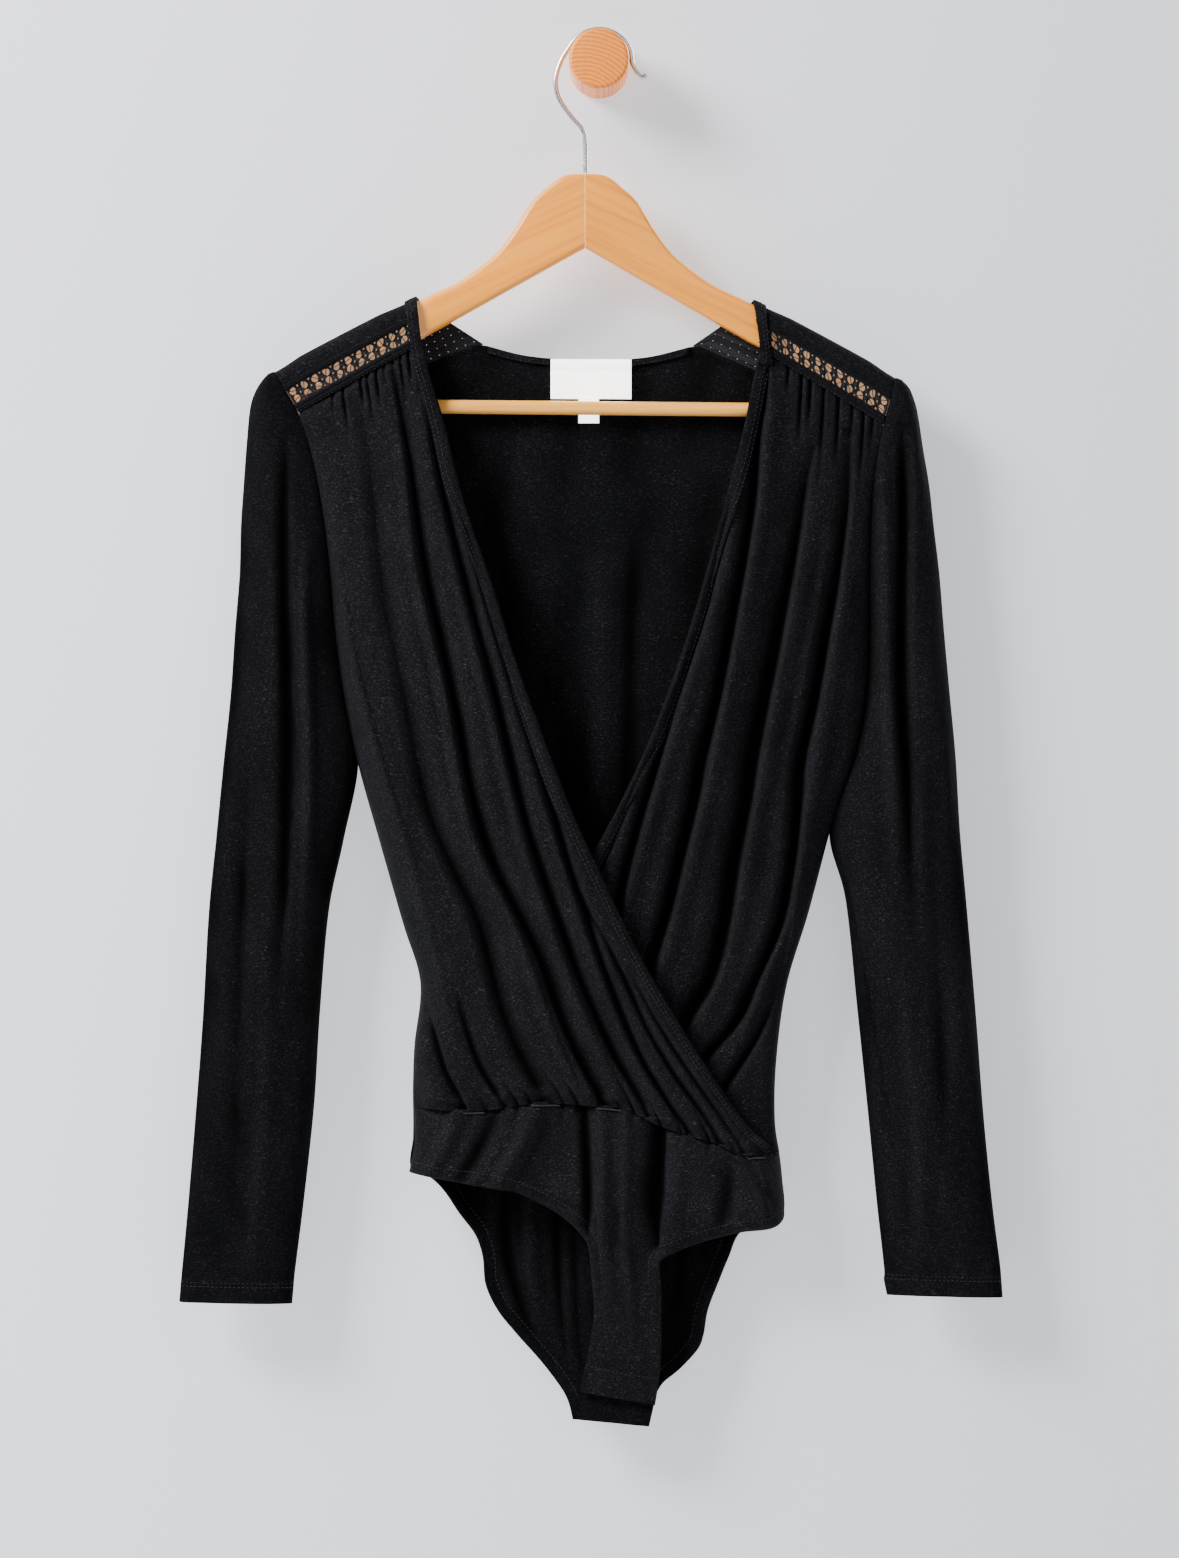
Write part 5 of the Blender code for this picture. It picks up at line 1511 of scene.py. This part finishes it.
# %% [markdown]
# ## Stitching
#
# Bands, tapes and hems are sewn with a thread as black as the cloth, so the stitches show only as
# small raised grains. They could be bumps in the material, but real grains catch the light from
# any side. Each is a small round shape stretched along the seam, and one seam's grains are one
# mesh.

# %% Lines on the cloth, and stitches along them
STITCH, STITCH_GAP, STITCH_RADIUS, STITCH_LIFT = 2.1, 0.9, 0.26, 0.12
SMALL_STEP = 0.003


def on_cloth(place, u, v, lift, round_hanger=False):
    """Points that stand lift millimetres off a piece: off its front, or off the outside of a tube
    round the hanger's depth."""
    u, v = np.broadcast_arrays(np.asarray(u, float), np.asarray(v, float))
    u0, u1, v0, v1 = np.clip((u - SMALL_STEP, u + SMALL_STEP, v - SMALL_STEP, v + SMALL_STEP), 0, 1)
    middle = place(u, v)
    normal = unit(np.cross(place(u1, v) - place(u0, v), place(u, v1) - place(u, v0)))
    away = middle[..., 1:2] + HANGER_DEPTH * MM if round_hanger else -1.0
    normal *= np.where(normal[..., 1:2] * away < 0, -1.0, 1.0)
    return middle + normal * lift * MM


def stitches(name, *seams):
    """Raised stitches along each seam's line of points, joined into one mesh."""
    made, count = [], 0
    for line in seams:
        length = np.concatenate(([0], np.cumsum(np.linalg.norm(np.diff(line, axis=0), axis=1))))
        bm = bmesh.new()
        for start in np.arange(0.5 * MM, length[-1] - STITCH * MM, (STITCH + STITCH_GAP) * MM):
            a, b = (Vector([float(np.interp(at, length, line[:, k])) for k in range(3)])
                    for at in (start, start + STITCH * MM))
            turn = (b - a).to_track_quat("Z", "Y").to_matrix().to_4x4()
            shape = Matrix.Diagonal((STITCH_RADIUS * MM, STITCH_RADIUS * MM, (b - a).length / 2, 1))
            bmesh.ops.create_icosphere(bm, subdivisions=1, radius=1.0,
                                       matrix=Matrix.Translation((a + b) / 2) @ turn @ shape)
            count += 1
        made.append(mesh_from(bm, name))
    print(f"{name}: {count} stitches")
    return finish_piece(name, join_meshes(name, made), THREAD)


# %% Stitches of the edge bands and the tapes
BAND_SEAMS = {"right": (0.14, 0.44), "left": (0.86, 0.56)}
TAPE_SEAMS = (("tape_upper", 0.5), ("tape_lower", 0.5), ("tape_lower", 0.93))
ON_TAPE = TAPE / 2 + STITCH_LIFT
band_stitches, tape_stitches = {}, {}
for side in SIDES:
    band_stitches[side] = stitches(f"band_stitches_{side}", *(
        on_cloth(band_places[side], u, np.linspace(0.0, 1.0, 900), ON_TAPE)
        for u in BAND_SEAMS[side]))
    tape_stitches[side] = stitches(f"tape_stitches_{side}", *(
        on_cloth(strip_places[name, side], np.linspace(0.01, 0.99, 120), v, ON_TAPE)
        for name, v in TAPE_SEAMS))


# %% Stitches of the cuffs
def ring_at(place, height):
    """A line round a sleeve, this high above its lower edge."""
    u, v = np.meshgrid(np.linspace(0, 1, 200), np.linspace(0.9, 1, 60), indexing="ij")
    spots = place(u.ravel(), v.ravel()).reshape(*u.shape, 3)
    rise = spots[..., 2] - spots[:, -1:, 2]
    level = [np.interp(-height * MM, -column, row) for column, row in zip(rise, v)]
    return u[:, 0], np.array(level)


ON_JERSEY = CLOTH / 2 + STITCH_LIFT
cuff_stitches = {side: stitches(f"cuff_stitches_{side}", *(
    on_cloth(place, *ring_at(place, height), ON_JERSEY, True)
    for height in (CUFF_HEIGHT - 2.0, CUFF_HEIGHT - 5.0))) for side, place in sleeve_places.items()}


# %% Stitches of the brief's hems and tabs, and of the neck band
def hem_line(rows, end, inset):
    """A line inside the panel's left or right edge, by inset millimetres."""
    edge = smooth_line([(row[2 * end], row[2 * end + 1]) for row in rows], 12)
    step = unit(np.gradient(edge, axis=0))
    inwards = np.stack((-step[:, 1], step[:, 0]), axis=1) * (1 if end == 0 else -1)
    return edge + inwards * inset


def sheet_line(sheet, line, lift=ON_JERSEY):
    """The line of x and height, laid on the front of a panel."""
    u, v = sheet.place(line[:, 0], line[:, 1])
    return sheet.out(np.clip(u, 0, 1), v, np.full(len(line), lift))


HEM = 7.5
tab_line = smooth_line([(x, z - 1.8) for x, z in TAB_SEAM], 12)
brief_front_stitches = stitches(
    "brief_front_stitches",
    *(sheet_line(brief_front_sheet, hem_line(BRIEF_FRONT[3:12], end, HEM)) for end in (0, 1)),
    sheet_line(brief_front_sheet, tab_line))
brief_back_stitches = stitches(
    "brief_back_stitches",
    *(sheet_line(brief_back_sheet, hem_line(BRIEF_BACK[3:14], end, HEM)) for end in (0, 1)))
neck_x = np.linspace(NECK_ENDS[0] + 1, NECK_ENDS[1] - 1, 150)
neck_line = np.stack((neck_x, back_top(neck_x) - 4.3), axis=1)
neck_stitches = stitches("neck_stitches", sheet_line(
    back_sheet, neck_line, CLOTH / 2 + ON_TOP + TAPE + STITCH_LIFT))

# %% [markdown]
# Where the waist tucks part, the piping sewn into the waist seam shows as short lit lines.

# %% The piping
CORD_RADIUS, CORD_LIFT, CORD_DROP = 0.45, 0.5, 3.2
PIPING = ((-92, -78), (-45, -27), (-1, 15), (99, 112))
parts = []
for start, end in PIPING:
    x = np.linspace(start, end, 24)
    spots = sheet_line(brief_front_sheet, np.stack((x, waist(x) - CORD_DROP), axis=1),
                       CLOTH / 2 + CORD_RADIUS + CORD_LIFT)
    parts.append(tube_mesh("piping", spots, CORD_RADIUS * MM, 2))
piping = finish_piece("waist_piping", join_meshes("waist_piping", parts), PIPING_CORD)

# %% [markdown]

# %% [markdown]
# ## Count the pieces

# %% How many pieces there are
bpy.context.view_layer.update()
print("pieces:", len(PIECES))
